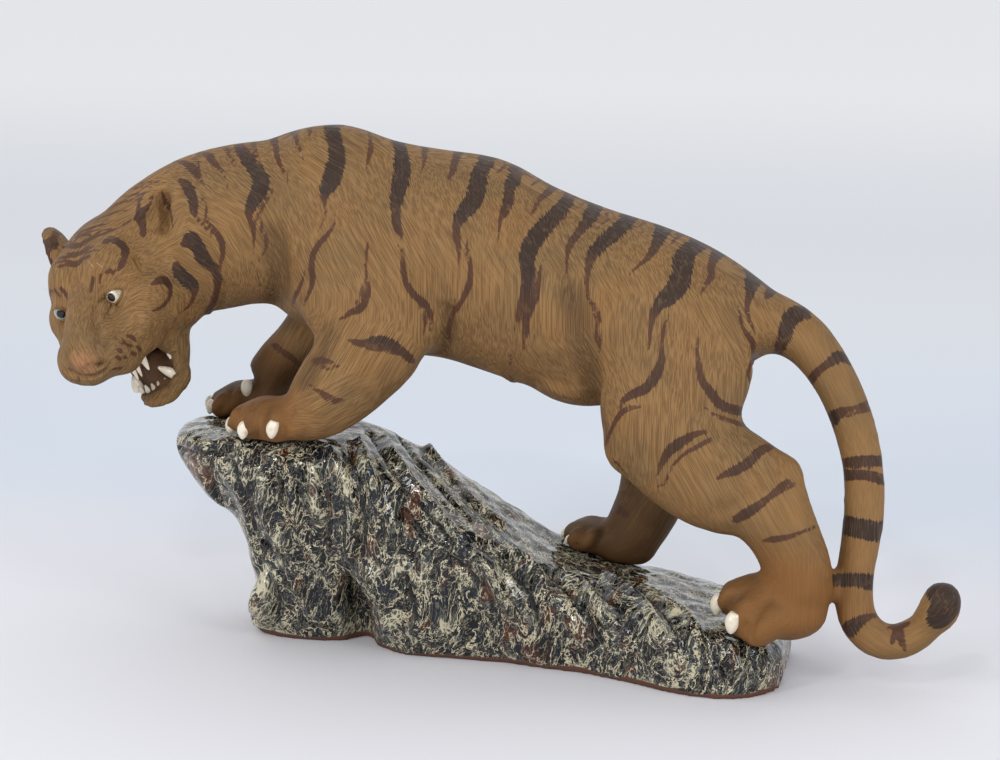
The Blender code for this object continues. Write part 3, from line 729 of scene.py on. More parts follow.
def outline_gap(places, outline):
    """Distance to a closed outline in the plane, negative inside it."""
    best = np.full(len(places), 99.0)
    inside = np.zeros(len(places), bool)
    for start, end in zip(outline[:-1], outline[1:]):
        way = end - start
        share = np.clip(((places - start) @ way) / (way @ way), 0, 1)
        best = np.minimum(best, np.linalg.norm(places - start - share[:, None] * way, axis=1))
        crosses = (start[1] > places[:, 1]) != (end[1] > places[:, 1])
        height = way[1] if way[1] else 1e-9
        inside ^= crosses & (places[:, 0] < start[0] + way[0] * (places[:, 1] - start[1]) / height)
    return np.where(inside, -best, best)


lid_ways = np.array([on_ball(EYE_MIDDLES["eye_left"], x, y) @ HEAD_AXES.T
                     for x, y, _ in smooth_line([(x, y, 0) for x, y in LID_OUTLINE], step=0.8)])
clay = points_of(tiger)
for name, side in (("eye_left", 1), ("eye_right", -1)):
    ways = (lid_ways * (1, side, 1)) @ HEAD_AXES
    front = ways.mean(axis=0)
    front /= np.linalg.norm(front)
    across = np.cross(front, (0, 0, 1))
    across /= np.linalg.norm(across)
    plane = np.stack((across, np.cross(front, across)), axis=1)
    outline = ways @ plane / (ways @ front)[:, None] * EYE_RADIUS
    offset = clay - EYE_MIDDLES[name]
    far = np.linalg.norm(offset, axis=1)
    facing = offset @ front
    chosen = np.nonzero((far < EYE_RADIUS + 5) & (facing > 0.25 * far))[0]
    gap = outline_gap(offset[chosen] @ plane / facing[chosen, None] * EYE_RADIUS, outline)
    rim = EYE_RADIUS + LID_LIFT + RIM_HEIGHT * np.exp(-((gap - RIM_MIDDLE) / RIM_SPREAD)**2)
    wanted = np.where(gap < RIM_END, rim, np.maximum(far[chosen], EYE_RADIUS + LID_LIFT))
    wanted = np.where(gap < 0, EYE_RADIUS - BEHIND_BALL, wanted)
    clay[chosen] = EYE_MIDDLES[name] + offset[chosen] * (wanted / far[chosen])[:, None]
set_points(tiger, clay)
print("lids cut")

# %% [markdown]
# The stripes follow. The wide ones are grey-black slip, laid on with a full brush, and the thin
# tails are the red-brown of slip that was brushed out. Each is a name and its pixel rows: x, y and
# full width. The photograph shows one side, and the other side gets the same stripes mirrored,
# shifted a little so that the two sides aren't stamped copies.

# %% Stripes of the neck, trunk and thigh
TRUNK_STRIPES = {
    "nape_1": [(137, 184, 2.5), (148, 182, 3), (163, 182, 2.5), (169, 186, 1)],
    "nape_2": [(122, 193, 3), (131, 189, 3.5), (142, 187, 3), (152, 187, 2)],
    "nape_3": [(180, 180, 5.6), (187, 186, 10.5), (192.6, 197, 12), (194, 208, 9.8),
               (195.4, 216.6, 4.2), (202.4, 225, 2.8), (210, 235, 2), (213, 245, 0.8)],
    "nape_4": [(202.4, 197, 1.7), (206, 208, 3.1), (206.7, 219.4, 3.5), (213.7, 229.3, 5.6),
               (220.7, 239, 7), (222.8, 250.3, 5.9), (221.4, 261.5, 3.9), (220, 272.8, 1.4)],
    "nape_5": [(172, 164, 3), (180, 161.2, 5), (189.8, 166, 8.4), (196, 171.7, 9.1),
               (199.6, 178.8, 4.2), (206.7, 185.8, 2), (214.4, 191.4, 0.7)],
    "nape_6": [(192.6, 153.5, 3.5), (203.9, 152.8, 5), (210.2, 157.7, 8.4), (215.8, 164.7, 5.6),
               (223.5, 173, 3.5), (227, 180.2, 2), (227.7, 188.6, 0.7)],
    "nape_7": [(215, 147.2, 2.8), (226.3, 149.3, 5.3), (229.8, 156.3, 3.9), (234, 163.3, 2.8),
               (236.8, 168.2, 0.8)],
    "nape_8": [(194, 157.7, 2.8), (198.2, 161.2, 2.4), (201.7, 165.4, 0.7)],
    "neck_1": [(232, 139, 7), (234.7, 140.2, 8.4), (241.7, 150.7, 11), (251.6, 164.7, 14.7),
               (260, 177.4, 16.8), (260.7, 185.8, 16.8), (255.8, 197, 15.4), (250.2, 208.2, 11),
               (249.5, 216.6, 6.3), (253, 229.3, 5.6), (254, 239, 3.5), (253, 250.3, 2),
               (251.6, 267, 1)],
    "neck_1_side": [(274.7, 183, 1.1), (271.2, 194.2, 2.5), (262.8, 206.8, 3.5), (259.3, 215.2, 4.2),
                    (261.4, 226.5, 4.2), (266.3, 239, 4.9), (265.6, 249, 3.5), (260, 260, 1.7),
                    (257.2, 272.8, 1.1), (260.7, 286.8, 1.1)],
    "neck_2": [(239, 138, 4.9), (248.8, 138.8, 7), (254.4, 146.5, 4.9), (255.8, 153.5, 3.5),
               (258, 157, 1.1)],
    "neck_3": [(268, 134, 8), (272.6, 136.7, 9.8), (276, 146.5, 6.3), (277.5, 157.7, 6.3),
               (282.4, 169, 3.9), (287.3, 176, 2.5), (288, 188.6, 1)],
    "neck_4": [(293.6, 131, 8.4), (296.5, 139.5, 5.3), (300, 149.3, 3.5), (303.5, 159, 2),
               (304.6, 167.5, 0.7)],
    "neck_5": [(309, 124.7, 6.3), (309.8, 132.4, 4.2), (312, 141, 1.1)],
    "hump": [(331.5, 122.6, 18), (333, 135.3, 14.7), (335.7, 146.5, 16), (337, 159, 17.5),
             (334.3, 170.3, 19), (331.5, 180.2, 19.6), (326, 188.6, 15.4), (324.5, 197, 7),
             (325.6, 208.2, 4.2), (324.5, 219.4, 3.1), (318.2, 232, 1.1)],
    "hump_tail": [(336.5, 211, 1.4), (335, 222.3, 2.8), (327.3, 235, 4.9), (318.2, 244.7, 6.3),
                  (312.6, 256, 6.7), (312, 267, 7), (312.6, 279.8, 6.7), (309.8, 291, 4.9),
                  (303.5, 306.4, 2)],
    "chest": [(305.6, 265.7, 1), (303.5, 277, 2.5), (299.3, 288.2, 4.9), (294.4, 298, 5.6),
              (292.2, 305, 1.1)],
    "shoulder_1": [(368, 128.2, 7), (370, 138, 3.9), (370.8, 149.3, 5.9), (368, 159, 3.9),
                   (366.3, 169, 1)],
    "shoulder_2": [(370.8, 233.5, 1), (367.3, 247.5, 3.1), (365.5, 264.3, 3.1), (366.6, 278.4, 3.5),
                   (368, 288.2, 5.9), (366, 299.4, 7), (359.6, 309.2, 7.7), (351, 312, 6.3),
                   (345.6, 316.3, 4), (337.2, 320.5, 2)],
    "shoulder_2_side": [(361, 285.4, 1), (359, 296, 3), (356.8, 303, 3)],
    "back_1": [(399, 143, 12.2), (401.4, 156.7, 15.3), (402.2, 170.5, 17.6), (400, 184.3, 18.4),
               (396.8, 198, 13.8), (396, 212, 10.7), (397.6, 227, 9.2), (403, 239.4, 3),
               (403, 254.7, 3.8), (403, 267, 6.1), (406, 282.3, 6.9), (413.7, 294.5, 7.7),
               (424.4, 303.7, 8.4), (430.5, 314.4, 6), (430.6, 331.5, 1.3)],
    "back_1_side": [(387.6, 235, 0.8), (398, 247, 1.5), (402, 253, 1.5)],
    "back_1_end": [(419, 306.7, 1.3), (424.8, 320, 3), (423.4, 336.5, 1.5)],
    "back_2": [(425.2, 146, 7.7), (424.4, 156.7, 5.4), (423.6, 166, 3), (421.3, 173.6, 1)],
    "back_3": [(459.6, 150.6, 10.7), (455, 161.3, 7.7), (452.7, 170.5, 6.9), (449, 178.2, 3.4),
               (444.3, 190.4, 1)],
    "back_4": [(487, 161.3, 16.8), (479.5, 173.6, 16.8), (478, 185.8, 18.4), (473.4, 199.6, 19),
               (465.7, 210.3, 16.8), (458, 221, 10.7), (456.5, 233.3, 7.7), (458.8, 247, 5.4),
               (459.6, 260.8, 3.8), (459.3, 276, 1.2)],
    "back_4_side": [(466.5, 236.3, 1), (468, 251.6, 3.8), (470.3, 267, 5.4), (469.5, 282.3, 6.9),
                    (465.7, 293, 6.4), (460.4, 303.7, 5), (453, 315, 5), (448.5, 331, 5),
                    (451, 348, 1)],
    "back_4_thin": [(455, 297.6, 1.2), (451.2, 316, 4)],
    "back_5": [(517, 174, 12), (514.7, 178.2, 15), (510, 187.4, 11.5), (508.6, 199.6, 11.5),
               (504.8, 211.8, 9.2), (500.2, 221, 3.8), (498.6, 239.4, 2)],
    "back_5_top": [(514, 172, 6), (523, 173, 8), (533, 177.5, 3)],
    "back_5_spot": [(507, 164.4, 4), (498, 172, 3), (495, 177, 1)],
    "back_6": [(554.5, 185.8, 9), (546.8, 193.5, 8), (539.2, 199.6, 4.6), (534.6, 208.8, 3.8),
               (531.5, 215, 1.2)],
    "back_6_spot": [(542, 179.7, 4), (533, 184, 3), (530, 190, 1)],
    "back_7": [(571.3, 195, 10.7), (562.2, 207.2, 15.3), (550, 221, 16.8), (539.2, 233.3, 18.4),
               (530.8, 245.5, 18.4), (527, 257.8, 16), (527.7, 273, 13.8), (527, 286.8, 13),
               (522.6, 301, 9.2), (518, 316, 5), (514, 330, 1.5)],
    "back_7_side": [(545.3, 254.7, 1), (540.7, 268.5, 2.8), (538.4, 282.3, 5.4), (534.6, 296, 9.2),
                    (530, 308, 9.5), (526.5, 318, 9), (526, 330, 7), (524.3, 341.5, 4),
                    (522.6, 351.4, 1.7)],
    "back_7_end": [(510.2, 344.8, 1.5), (511, 356.4, 2.5), (510.2, 369.6, 2.5), (512.6, 383, 3),
                   (517, 388, 1.5)],
    "back_7_spot": [(585, 201, 3), (573, 210, 1.5), (563.7, 219.5, 0.8)],
    "back_8": [(597, 202, 13), (594.3, 207.2, 15.3), (589.7, 218, 13.8), (580.5, 230.2, 9.2),
               (571.3, 242.5, 7.7), (567.5, 253.2, 4.6), (566.4, 267, 2.8), (568.3, 283.8, 1.2)],
    "back_8_spot": [(609.6, 218, 3), (600, 226, 2.5), (594, 232, 1)],
    "back_9": [(633, 215, 13.8), (617.6, 230, 16.8), (602.2, 243.7, 15.3), (593, 254.4, 12.2),
               (588, 268, 7), (586.6, 285.3, 4.6), (589.7, 300.6, 4.6), (597, 308, 3.5),
               (601.5, 327, 3.5), (600.5, 341, 3.5), (596, 366, 1.3)],
    "back_9_side": [(591, 303, 2.5), (596, 321, 3), (595.4, 336, 3), (593.5, 350, 1.5)],
    "rump_1": [(649.7, 219.2, 2), (636, 228.4, 3)],
    "rump_2": [(668, 223.8, 20), (660.4, 234.5, 14.5), (655.8, 245.2, 10.7), (648.2, 257.5, 6.1),
               (637.5, 266.6, 3.4), (629.8, 274.3, 1.8), (628, 289.6, 0.8)],
    "rump_3": [(697, 230, 4.6), (681.8, 234.5, 4.6), (672.7, 242, 3.4), (668, 248.3, 1.2)],
    "rump_4": [(712.5, 239, 9.2), (701.7, 243.7, 16.8), (689.5, 249.8, 18.4), (683.4, 260.5, 21.4),
               (681.8, 274.3, 20.7), (677.2, 286.5, 21.4), (668, 297.2, 18.4), (659, 305, 12.2),
               (652.8, 317, 6.9), (650.5, 331, 4.3), (649, 344.7, 3), (648, 354, 1)],
    "thigh_1": [(669.6, 314, 1.2), (663.5, 328, 3.8), (661.2, 344.7, 5.4), (661.2, 360, 7.7),
                (655.8, 375.3, 10.7), (646.6, 387.6, 10.7), (634.4, 393.7, 9.2), (623.7, 399.8, 6.1),
                (619, 407.5, 1.8)],
    "thigh_2": [(643.4, 405.8, 2.5), (626, 409.6, 5.5), (617.5, 417.7, 6), (611.5, 429.5, 5),
                (605.6, 443.4, 5)],
    "rump_5": [(724.7, 246.7, 13.8), (715.5, 256, 12.2), (711.7, 265, 7.7), (711, 275.8, 7.7),
               (705.6, 285, 4.3), (701, 294.2, 1.8)],
    "rump_6": [(746, 262, 8), (740, 260.5, 9), (732.4, 265, 1.5)],
    "rump_7": [(760, 274.3, 15), (752.3, 282, 16.8), (749.2, 295.7, 9.2), (747, 309.5, 5.4),
               (750.7, 323.3, 3.8), (756, 334, 2)],
    "rump_8": [(763, 283.5, 4), (771, 289, 12), (764.5, 300, 2)],
    "rump_9": [(738.2, 300.3, 1.2), (740, 317, 3.8), (744.6, 331, 5.4), (752.3, 343.2, 6.9),
               (752.3, 358.5, 6.9), (748.4, 372.3, 5.8), (750, 383, 3.8)],
    "thigh_3": [(698, 337, 1.5), (697, 352.4, 4.6), (698.7, 366, 6.1), (701.7, 380, 7.7),
                (709.4, 390.6, 9.2), (718.6, 402.9, 10), (730.8, 409, 10), (748, 412.5, 10)],
    "thigh_4": [(704.6, 407.6, 1.5), (718, 416.6, 4), (732, 421.4, 4.5), (748, 426.6, 8)],
    "thigh_5": [(706.4, 431.5, 4), (694.6, 434.5, 6.9), (680.7, 442.4, 10.9), (669, 451.3, 9.9),
                (663, 461.2, 6.9), (656, 477, 2)],
    "thigh_6": [(710.4, 439.4, 5), (696.5, 447.3, 5), (682.7, 455.2, 3.6), (670.8, 469, 2.8),
                (665, 483, 2.8), (657, 487, 2)],
    "thigh_edge": [(616, 462, 5), (627.3, 475, 2)],
}
print(len(TRUNK_STRIPES), "stripes on neck, trunk and thigh")

# %% [markdown]
# The stripes of the head are thin and close, those of the legs go round, and those of the tail are
# bands. They are kept apart because each group is mirrored in its own way further down.

# %% Stripes of the head, legs and tail
HEAD_STRIPES = {
    "ruff": [(183.5, 244.7, 7), (191.2, 239, 15), (198.2, 247.5, 16), (202.4, 257.3, 17),
             (211.6, 267, 11.2), (217.2, 275.6, 10.5), (217.2, 286.8, 7), (214.4, 299.4, 7.7),
             (209.5, 310.6, 7), (201, 319, 5.6), (194, 325.4, 2)],
    "cheek_1": [(176, 264.9, 7.6), (180.7, 274, 13.8), (191.4, 283.3, 13.8), (194.5, 292.4, 6.7),
                (190, 304.7, 4.3), (179.8, 313.3, 1.2)],
    "cheek_2": [(151, 284.8, 2.4), (160.8, 280.2, 9.2), (168.5, 283.3, 10.7), (170.6, 292.4, 6.1),
                (167, 301.6, 4.6), (159.3, 308.4, 4.3), (152.2, 310.8, 1.5)],
    "brow": [(104.7, 242.2, 6.1), (110.8, 239.2, 11.2), (118, 242.2, 10.2), (125, 248.4, 9.7),
             (124, 258.6, 7.1), (120.5, 266.7, 6.1), (118, 270.8, 2)],
    "brow_spot_1": [(93, 278, 4), (92, 285, 5), (90.9, 291.2, 3)],
    "brow_spot_2": [(100.6, 274.9, 3), (99.6, 283, 2.5)],
    "brow_spot_3": [(106, 273, 2.5), (110, 270.5, 4.5), (112, 273, 2)],
    "brow_spot_4": [(114.4, 271, 3), (113, 275, 2)],
    "tear": [(110, 305, 1), (107, 312, 2), (104, 318, 0.8)],
    "whisker_spot_1": [(121.5, 338, 2), (124, 342, 3), (122, 344, 2)],
    "whisker_spot_2": [(128, 336, 4), (133, 338, 5), (136, 341, 2)],
    "whisker_spot_3": [(118, 350, 4), (121, 351, 5)],
    "whisker_spot_4": [(127, 345, 4), (131, 346, 4)],
    "whisker_spot_5": [(137, 347, 4), (141, 350, 4)],
    "whisker_spot_6": [(132, 353, 4), (136, 354, 4)],
    "whisker_spot_7": [(124, 357, 3), (127, 358, 3)],
    "whisker_spot_8": [(114, 369, 3), (121, 368, 4)],
    "whisker_spot_9": [(117, 357, 4), (120, 359, 4)],
    "crown_1": [(58.8, 266.7, 3), (68, 264.2, 4.6), (76, 264.2, 5.6), (82.2, 258.6, 4.1),
                (86.3, 253.5, 3.1), (93.5, 250.4, 2.2), (100.6, 250.4, 0.8)],
    "crown_2": [(59.8, 258, 4), (69, 256.5, 4.6), (77, 254.5, 5.6), (83.3, 250.4, 4.1),
                (89.4, 245.3, 2.5)],
    "crown_3": [(64, 247.3, 3), (71, 245.3, 6.6), (79.2, 245.3, 6.6), (87.3, 242.2, 4), (95.5, 234, 3),
                (103.7, 230, 2.5), (111.8, 228.5, 1)],
    "crown_4": [(73, 238.2, 1.5), (81.2, 235, 4), (90.4, 235, 3)],
    "crown_5": [(81.2, 231, 3), (91.4, 228, 5), (99.6, 225, 3.5), (108.8, 224, 1.5)],
    "crown_6": [(91.4, 220.8, 4), (101.6, 217.8, 5), (111.8, 213.7, 3), (120, 210.6, 2),
                (128, 210.6, 1)],
    "crown_7": [(101.6, 209.6, 4), (109.8, 207.6, 4), (118, 203.5, 3.5), (132.2, 200.4, 3.5),
                (142.4, 199.4, 2.5)],
    "crown_8": [(111.8, 202.4, 3), (120, 197.3, 3.5), (130.2, 195.3, 3.5), (142.4, 193.3, 3.5),
                (150.6, 192.2, 2)],
    "ear_front": [(151.6, 195.3, 4), (149.6, 204.5, 5), (142.4, 211.6, 9), (137.3, 214.7, 11),
                  (137.3, 220.8, 4)],
    "ear_back": [(161.8, 191.2, 2), (165, 200.4, 5), (169.5, 209.6, 5), (172, 220.8, 3),
                 (173, 228, 1.5)],
    "far_ear": [(68, 230, 3), (55.7, 235, 5), (48.6, 246.3, 9), (47.6, 256.5, 8), (51.6, 263.7, 6)],
}
NEAR_LEG_STRIPES = {
    "arm_1": [(346.2, 338.4, 1.8), (354.6, 342.2, 6.1), (366.8, 343.7, 9.2), (379, 341.4, 13),
              (389.8, 344.5, 12.2), (400.5, 350.6, 9.2), (409.7, 358.3, 8.4), (414.3, 362, 4.6)],
    "arm_1_side": [(370, 349.8, 1.8), (383.7, 351.4, 3.8), (397.5, 353.7, 3)],
    "arm_2": [(312.5, 360.6, 4.6), (321, 360.6, 7.7), (330, 362, 4.6), (339.3, 366.7, 3)],
    "arm_2_side": [(313.3, 364.4, 3), (322.5, 367.5, 3), (333.2, 372, 2)],
    "arm_3": [(305.6, 382, 1.5), (313.3, 388, 3.8), (325.5, 395, 5.4), (337.8, 399.6, 4.6),
              (347, 401, 1.2)],
    "arm_3_side": [(322.5, 398, 1.8), (334.7, 404.2, 2), (345.4, 406.5, 1.8)],
    "leg_1": [(771.7, 445.4, 7.9), (759.8, 451.3, 9.9), (748, 463.2, 9.9), (736, 470, 9.9),
              (726.2, 474, 6.9), (716.3, 479, 2.8)],
    "leg_2": [(789.5, 481, 5.9), (781.5, 486, 6.9), (771.7, 494.8, 5.9), (759.8, 504.7, 8.9),
              (748, 512.6, 10.9), (736, 519.5, 8.9)],
    "leg_2_side": [(795.4, 484, 4), (779.6, 492.8, 3), (767.7, 500.7, 3)],
    "leg_3": [(816, 526.4, 3.6), (803.3, 531.4, 3.6), (787.5, 537.3, 5.5), (773.6, 539.3, 6.9),
              (761.8, 541.2, 2.4)],
}
FAR_LEG_STRIPES = {
    "far_arm_1": [(275, 350.6, 3), (284.2, 352, 5.4), (295, 359.8, 5.4), (301, 366, 3)],
    "far_leg_1": [(614.5, 506.6, 9.9), (623.4, 512.6, 7.9), (629.3, 516.5, 3)],
}
TAIL_STRIPES = {
    "tail_1": [(806, 315, 12), (802, 311, 18), (789, 320.2, 16.8), (784.4, 337, 13.8),
               (776.7, 355.4, 7.7)],
    "tail_2": [(848.5, 361, 10), (839.8, 356.5, 13), (824.8, 366, 7.5), (815, 374.6, 8.7),
               (808, 385, 10)],
    "tail_3": [(868, 405, 9), (852.2, 408.2, 4), (839.8, 413.2, 11), (831, 420.6, 15),
               (827.5, 425, 15)],
    "tail_3_side": [(870.5, 410, 3), (857, 413, 3), (847, 417, 2)],
    "tail_4": [(843.5, 463, 9), (862, 461, 11), (883, 461, 11)],
    "tail_4_side": [(845, 475.4, 11), (865, 475, 10), (884.5, 480, 12)],
    "tail_5": [(844, 525, 19), (862, 529, 20), (882, 532, 21)],
    "tail_6": [(834.5, 580, 13), (855, 580, 14), (876.5, 583.6, 16)],
    "tail_7": [(849, 630, 17), (859.7, 621, 11), (872, 616, 5), (880, 616, 4)],
    "tail_8": [(890, 627, 6), (899, 625.5, 8), (908, 624, 6)],
    "tail_8_left": [(897, 627, 7), (892, 643, 5)],
    "tail_8_right": [(899, 627, 7), (902, 641, 7), (905, 651, 3)],
    "tail_tip": [(938, 619, 24), (949, 605, 36), (950, 592, 36), (941, 586, 34)],
}
print(len(HEAD_STRIPES) + len(NEAR_LEG_STRIPES) + len(FAR_LEG_STRIPES) + len(TAIL_STRIPES), "more stripes")

# %% [markdown]
# The far side is out of sight, so its stripes are mirror images: in the middle plane of the trunk,
# in that of the turned head, and about the middle line of a leg or of the tail. A mirrored stroke
# may miss the clay, so it is settled on the nearest clay, or dropped where that is too far off.

# %% Mirror a stroke
NEAR_FORELEG_MIDDLE, NEAR_HIND_MIDDLE = -33, -34
FAR_FORELEG_MIDDLE, FAR_HIND_MIDDLE = 18, 26
TAIL_LINE = np.array([(128, -1, 168), (145, -3, 160), (158, -6, 144), (168, -10, 124), (174, -15, 102),
                      (175, -20, 80), (173, -26, 60), (173, -29, 42), (180, -31, 29), (194, -32, 26),
                      (208, -34, 36), (213, -35, 50)], float)
FAR_SIDE_SHIFT = 5.0
SPINE_REACH, BRIDGE_LIFT = 16, 6


def flip_trunk(line, number):
    """Mirror a stroke in the upright middle plane, and move it a little the farther down it goes."""
    flipped = line * (1, -1, 1, 1)
    depth = np.clip(flipped[:, 1] / 30, 0, 1)
    flipped[:, 0] += FAR_SIDE_SHIFT * depth * math.sin(number * 2.3)
    flipped[:, 2] += 0.6 * FAR_SIDE_SHIFT * depth * math.sin(number * 1.7 + 1)
    return flipped


def flip_about(line, middle):
    flipped = line.copy()
    flipped[:, 1] = 2 * middle - flipped[:, 1]
    return flipped


def flip_head(line):
    places = head_places(line[:, :3]) * (1, -1, 1)
    return np.column_stack((HEAD_ORIGIN + places @ HEAD_AXES, line[:, 3]))


def flip_tail(line):
    gaps = np.linalg.norm((line[:, None, :3] - TAIL_LINE[None]) * (1, 0, 1), axis=2)
    flipped = line.copy()
    flipped[:, 1] = 2 * TAIL_LINE[gaps.argmin(axis=1), 1] - flipped[:, 1]
    return flipped


def settle(tree, line, limit=18):
    """Bring the points of a stroke onto the nearest clay, and drop those that are far from it."""
    found = []
    for row in line:
        hit, _, _, far = tree.find_nearest(Vector(row[:3]))
        if hit is not None and far < limit:
            found.append((*hit, row[3]))
    return np.array(found).reshape(-1, 4)


def over_the_back(tree, line):
    """Bridge a trunk stroke that starts at the spine to its mirror image."""
    first = line[0]
    if abs(first[1]) > SPINE_REACH or len(line) < 4:
        return None
    lift = [first * (1, share, 1, 1) + (0, 0, BRIDGE_LIFT, 0) for share in (1, 0.5, 0, -0.5, -1)]
    return settle(tree, np.array(lift))


print("mirrors ready, the tail's line has", len(TAIL_LINE), "points")

# %% [markdown]
# Every stroke is laid on the clay together with its mirror image. A picture wrapped round the
# figure would need a flat map of it, so the clay itself holds the stripes: each point keeps its
# distance to the nearest stripe's edge, and that stripe's tone, dark where it is wide.

# %% Lay the stripes on both sides
RUST_WIDTH, DARK_WIDTH = 1.2, 3.2
clay_tree = tree_of(tiger)
lines = []
for number, rows in enumerate(TRUNK_STRIPES.values()):
    line = drop_on(clay_tree, rows)
    if len(line) < 2:
        continue
    lines.append(line)
    flipped = flip_trunk(line, number)
    lines.append(settle(clay_tree, flipped[flipped[:, 1] > -2]))
    bridge = over_the_back(clay_tree, line)
    if bridge is not None:
        lines.append(bridge)
for rows in HEAD_STRIPES.values():
    line = drop_on(clay_tree, rows)
    if len(line) > 1:
        lines += [line, settle(clay_tree, flip_head(line), 8)]
for rows in NEAR_LEG_STRIPES.values():
    line = drop_on(clay_tree, rows)
    middle = NEAR_FORELEG_MIDDLE if line[0, 0] < 0 else NEAR_HIND_MIDDLE
    lines += [line, settle(clay_tree, flip_about(line, middle), 12)]
    lines.append(settle(clay_tree, flip_trunk(line, 3)))
for rows in FAR_LEG_STRIPES.values():
    line = drop_on(clay_tree, rows)
    middle = FAR_FORELEG_MIDDLE if line[0, 0] < 0 else FAR_HIND_MIDDLE
    lines += [line, settle(clay_tree, flip_about(line, middle), 12)]
for rows in TAIL_STRIPES.values():
    line = drop_on(clay_tree, rows)
    lines += [line, settle(clay_tree, flip_tail(line), 8)]
lines = [line for line in lines if len(line) > 1]

clay = points_of(tiger)
stripe_gap = np.full(len(clay), 9.0)
stripe_tone = np.zeros(len(clay))
for line in lines:
    tone = np.clip((line[:, 3] - RUST_WIDTH) / (DARK_WIDTH - RUST_WIDTH), 0, 1)
    signed_distance(clay, line, stripe_gap, stripe_tone, tone)


def store(piece, name, values):
    kind = "FLOAT" if values.ndim == 1 else "FLOAT_VECTOR"
    layer = piece.data.attributes.new(name, kind, "POINT")
    layer.data.foreach_set("value" if values.ndim == 1 else "vector", values.astype(np.float32).ravel())


store(tiger, "stripe_gap", stripe_gap)
store(tiger, "stripe_tone", stripe_tone)
print(len(lines), "strokes laid,", int((stripe_gap < 0).sum()), "painted points")

# %% [markdown]
# The comb marks of the coat run down the shoulder and flank, back along the neck and along the
# tail. A pattern can only be stretched along one fixed line, so six patterns are made, turned by
# 30 degrees each, and every point of the clay holds how much of each it wants. The wanted angle is
# read from guide marks in the picture, and near the spine, belly and chest it follows the outline.

# %% Comb the coat
COMB_STEP = 30
GUIDE_SOFTNESS, GUIDE_FALL = 60, 1.6
OUTLINE_START, OUTLINE_FADE = 0.75, 0.45
COMB_OVERLAP = 2.2
COMB_GUIDES = [
    (120, 200, 30), (160, 170, 5), (220, 190, -38), (290, 150, -35), (340, 150, -38), (330, 200, -48),
    (280, 250, -72), (245, 290, -85), (330, 260, -62), (380, 180, -52), (380, 290, -72), (430, 200, -56),
    (430, 320, -85), (500, 230, -75), (500, 340, -84), (560, 240, -60), (560, 300, -86), (545, 380, -66),
    (620, 260, -62), (640, 330, -88), (590, 380, -55), (700, 280, -70), (700, 380, -86), (770, 330, -58),
    (650, 450, -88), (700, 490, -62), (750, 480, -48), (800, 520, -68), (815, 590, -80), (760, 610, 15),
    (390, 350, 52), (350, 390, 42), (300, 430, 8), (250, 430, 80), (330, 340, 60), (280, 370, 55),
    (640, 540, 70), (620, 560, 40), (840, 380, -50), (870, 450, -75), (865, 530, -92), (855, 600, -85),
    (880, 650, -30), (930, 640, 25), (950, 590, 75), (100, 300, 80), (75, 290, 95), (150, 260, 20),
    (190, 270, -40), (200, 310, -55), (160, 320, -15), (130, 350, 20), (90, 350, 110), (110, 250, 55),
    (170, 385, 70), (120, 330, 30), (150, 225, 60),
]


def comb_weights(points, normals):
    """Six weights per point from the wanted angle of the comb marks in the upright side plane."""
    sides = points.copy()
    sides[:, 1] = -np.abs(points[:, 1])
    places = to_picture(sides)
    guides = np.array(COMB_GUIDES, float)
    pull = 1 / (((places[:, None] - guides[None, :, :2])**2).sum(axis=2) + GUIDE_SOFTNESS)**GUIDE_FALL
    doubled = np.radians(guides[:, 2] * 2)
    across = (pull * np.cos(doubled)).sum(1) / pull.sum(1)
    upward = (pull * np.sin(doubled)).sum(1) / pull.sum(1)
    outline = 2 * np.arctan2(-normals[:, 0], normals[:, 2])
    share = np.clip((OUTLINE_START - np.abs(normals[:, 1])) / OUTLINE_FADE, 0, 1)**1.5
    across = across * (1 - share) + np.cos(outline) * share
    upward = upward * (1 - share) + np.sin(outline) * share
    angle = np.degrees(np.arctan2(upward, across) / 2) % 180
    step = angle / COMB_STEP
    low = np.floor(step).astype(int) % 6
    part = np.clip((step - np.floor(step) - 0.5) * COMB_OVERLAP + 0.5, 0, 1)
    weights = np.zeros((len(points), 6))
    weights[np.arange(len(points)), low] = 1 - part
    weights[np.arange(len(points)), (low + 1) % 6] += part
    return weights


weights = comb_weights(clay, normals_of(tiger))
store(tiger, "comb_a", weights[:, :3])
store(tiger, "comb_b", weights[:, 3:])
print("combed, mean weights", weights.mean(axis=0).round(2))

# %% [markdown]
# Some places are browner or darker than the rest of the coat: the paws, the inside of the mouth,
# the nose, and the grooves, which get painted shade. Each is a soft mask on the clay's points,
# because a mask can be shifted with one number where painting by hand has to be done again. The
# painted shade comes first: it lies in the grooves, under the body, on the far legs and a little on top.

# %% Mask of the painted shade
# Strokes of painted shade in the grooves and creases, on the far hind leg and round the eye and lip.
SHADE_STROKES = [
    [(274, 240, 26), (282, 272, 30), (276, 300, 26)],
    [(449, 305, 10), (447, 335, 14), (440, 352, 10)],
    [(568, 290, 14), (578, 325, 22), (586, 360, 24), (596, 392, 18)],
    [(600, 405, 10), (606, 440, 12)],
    [(222, 312, 10), (240, 312, 12), (268, 316, 14)],
    [(330, 335, 12), (322, 352, 16), (305, 380, 16)],
    [(244, 440, 3), (247, 424, 3), (258, 405, 3), (272, 399, 3)],
    [(265, 436, 3), (267, 420, 3), (273, 406, 3)],
    [(720, 622, 4), (727, 606, 4), (742, 598, 4)],
    [(640, 520, 50), (620, 560, 40), (655, 560, 40)],
    [(95, 330, 3), (100, 345, 4), (112, 338, 4)],
    [(62, 380, 3), (80, 388, 3), (100, 384, 3)],
]
GROOVE_SHADE, UNDERSIDE_SHADE, TOPSIDE_SHADE = 0.75, 0.55, 0.33
SHADE_INSIDE, SHADE_FADE = 2, 7
painted_shade = np.full(len(clay), 9.0)
no_tone = np.zeros(len(clay))
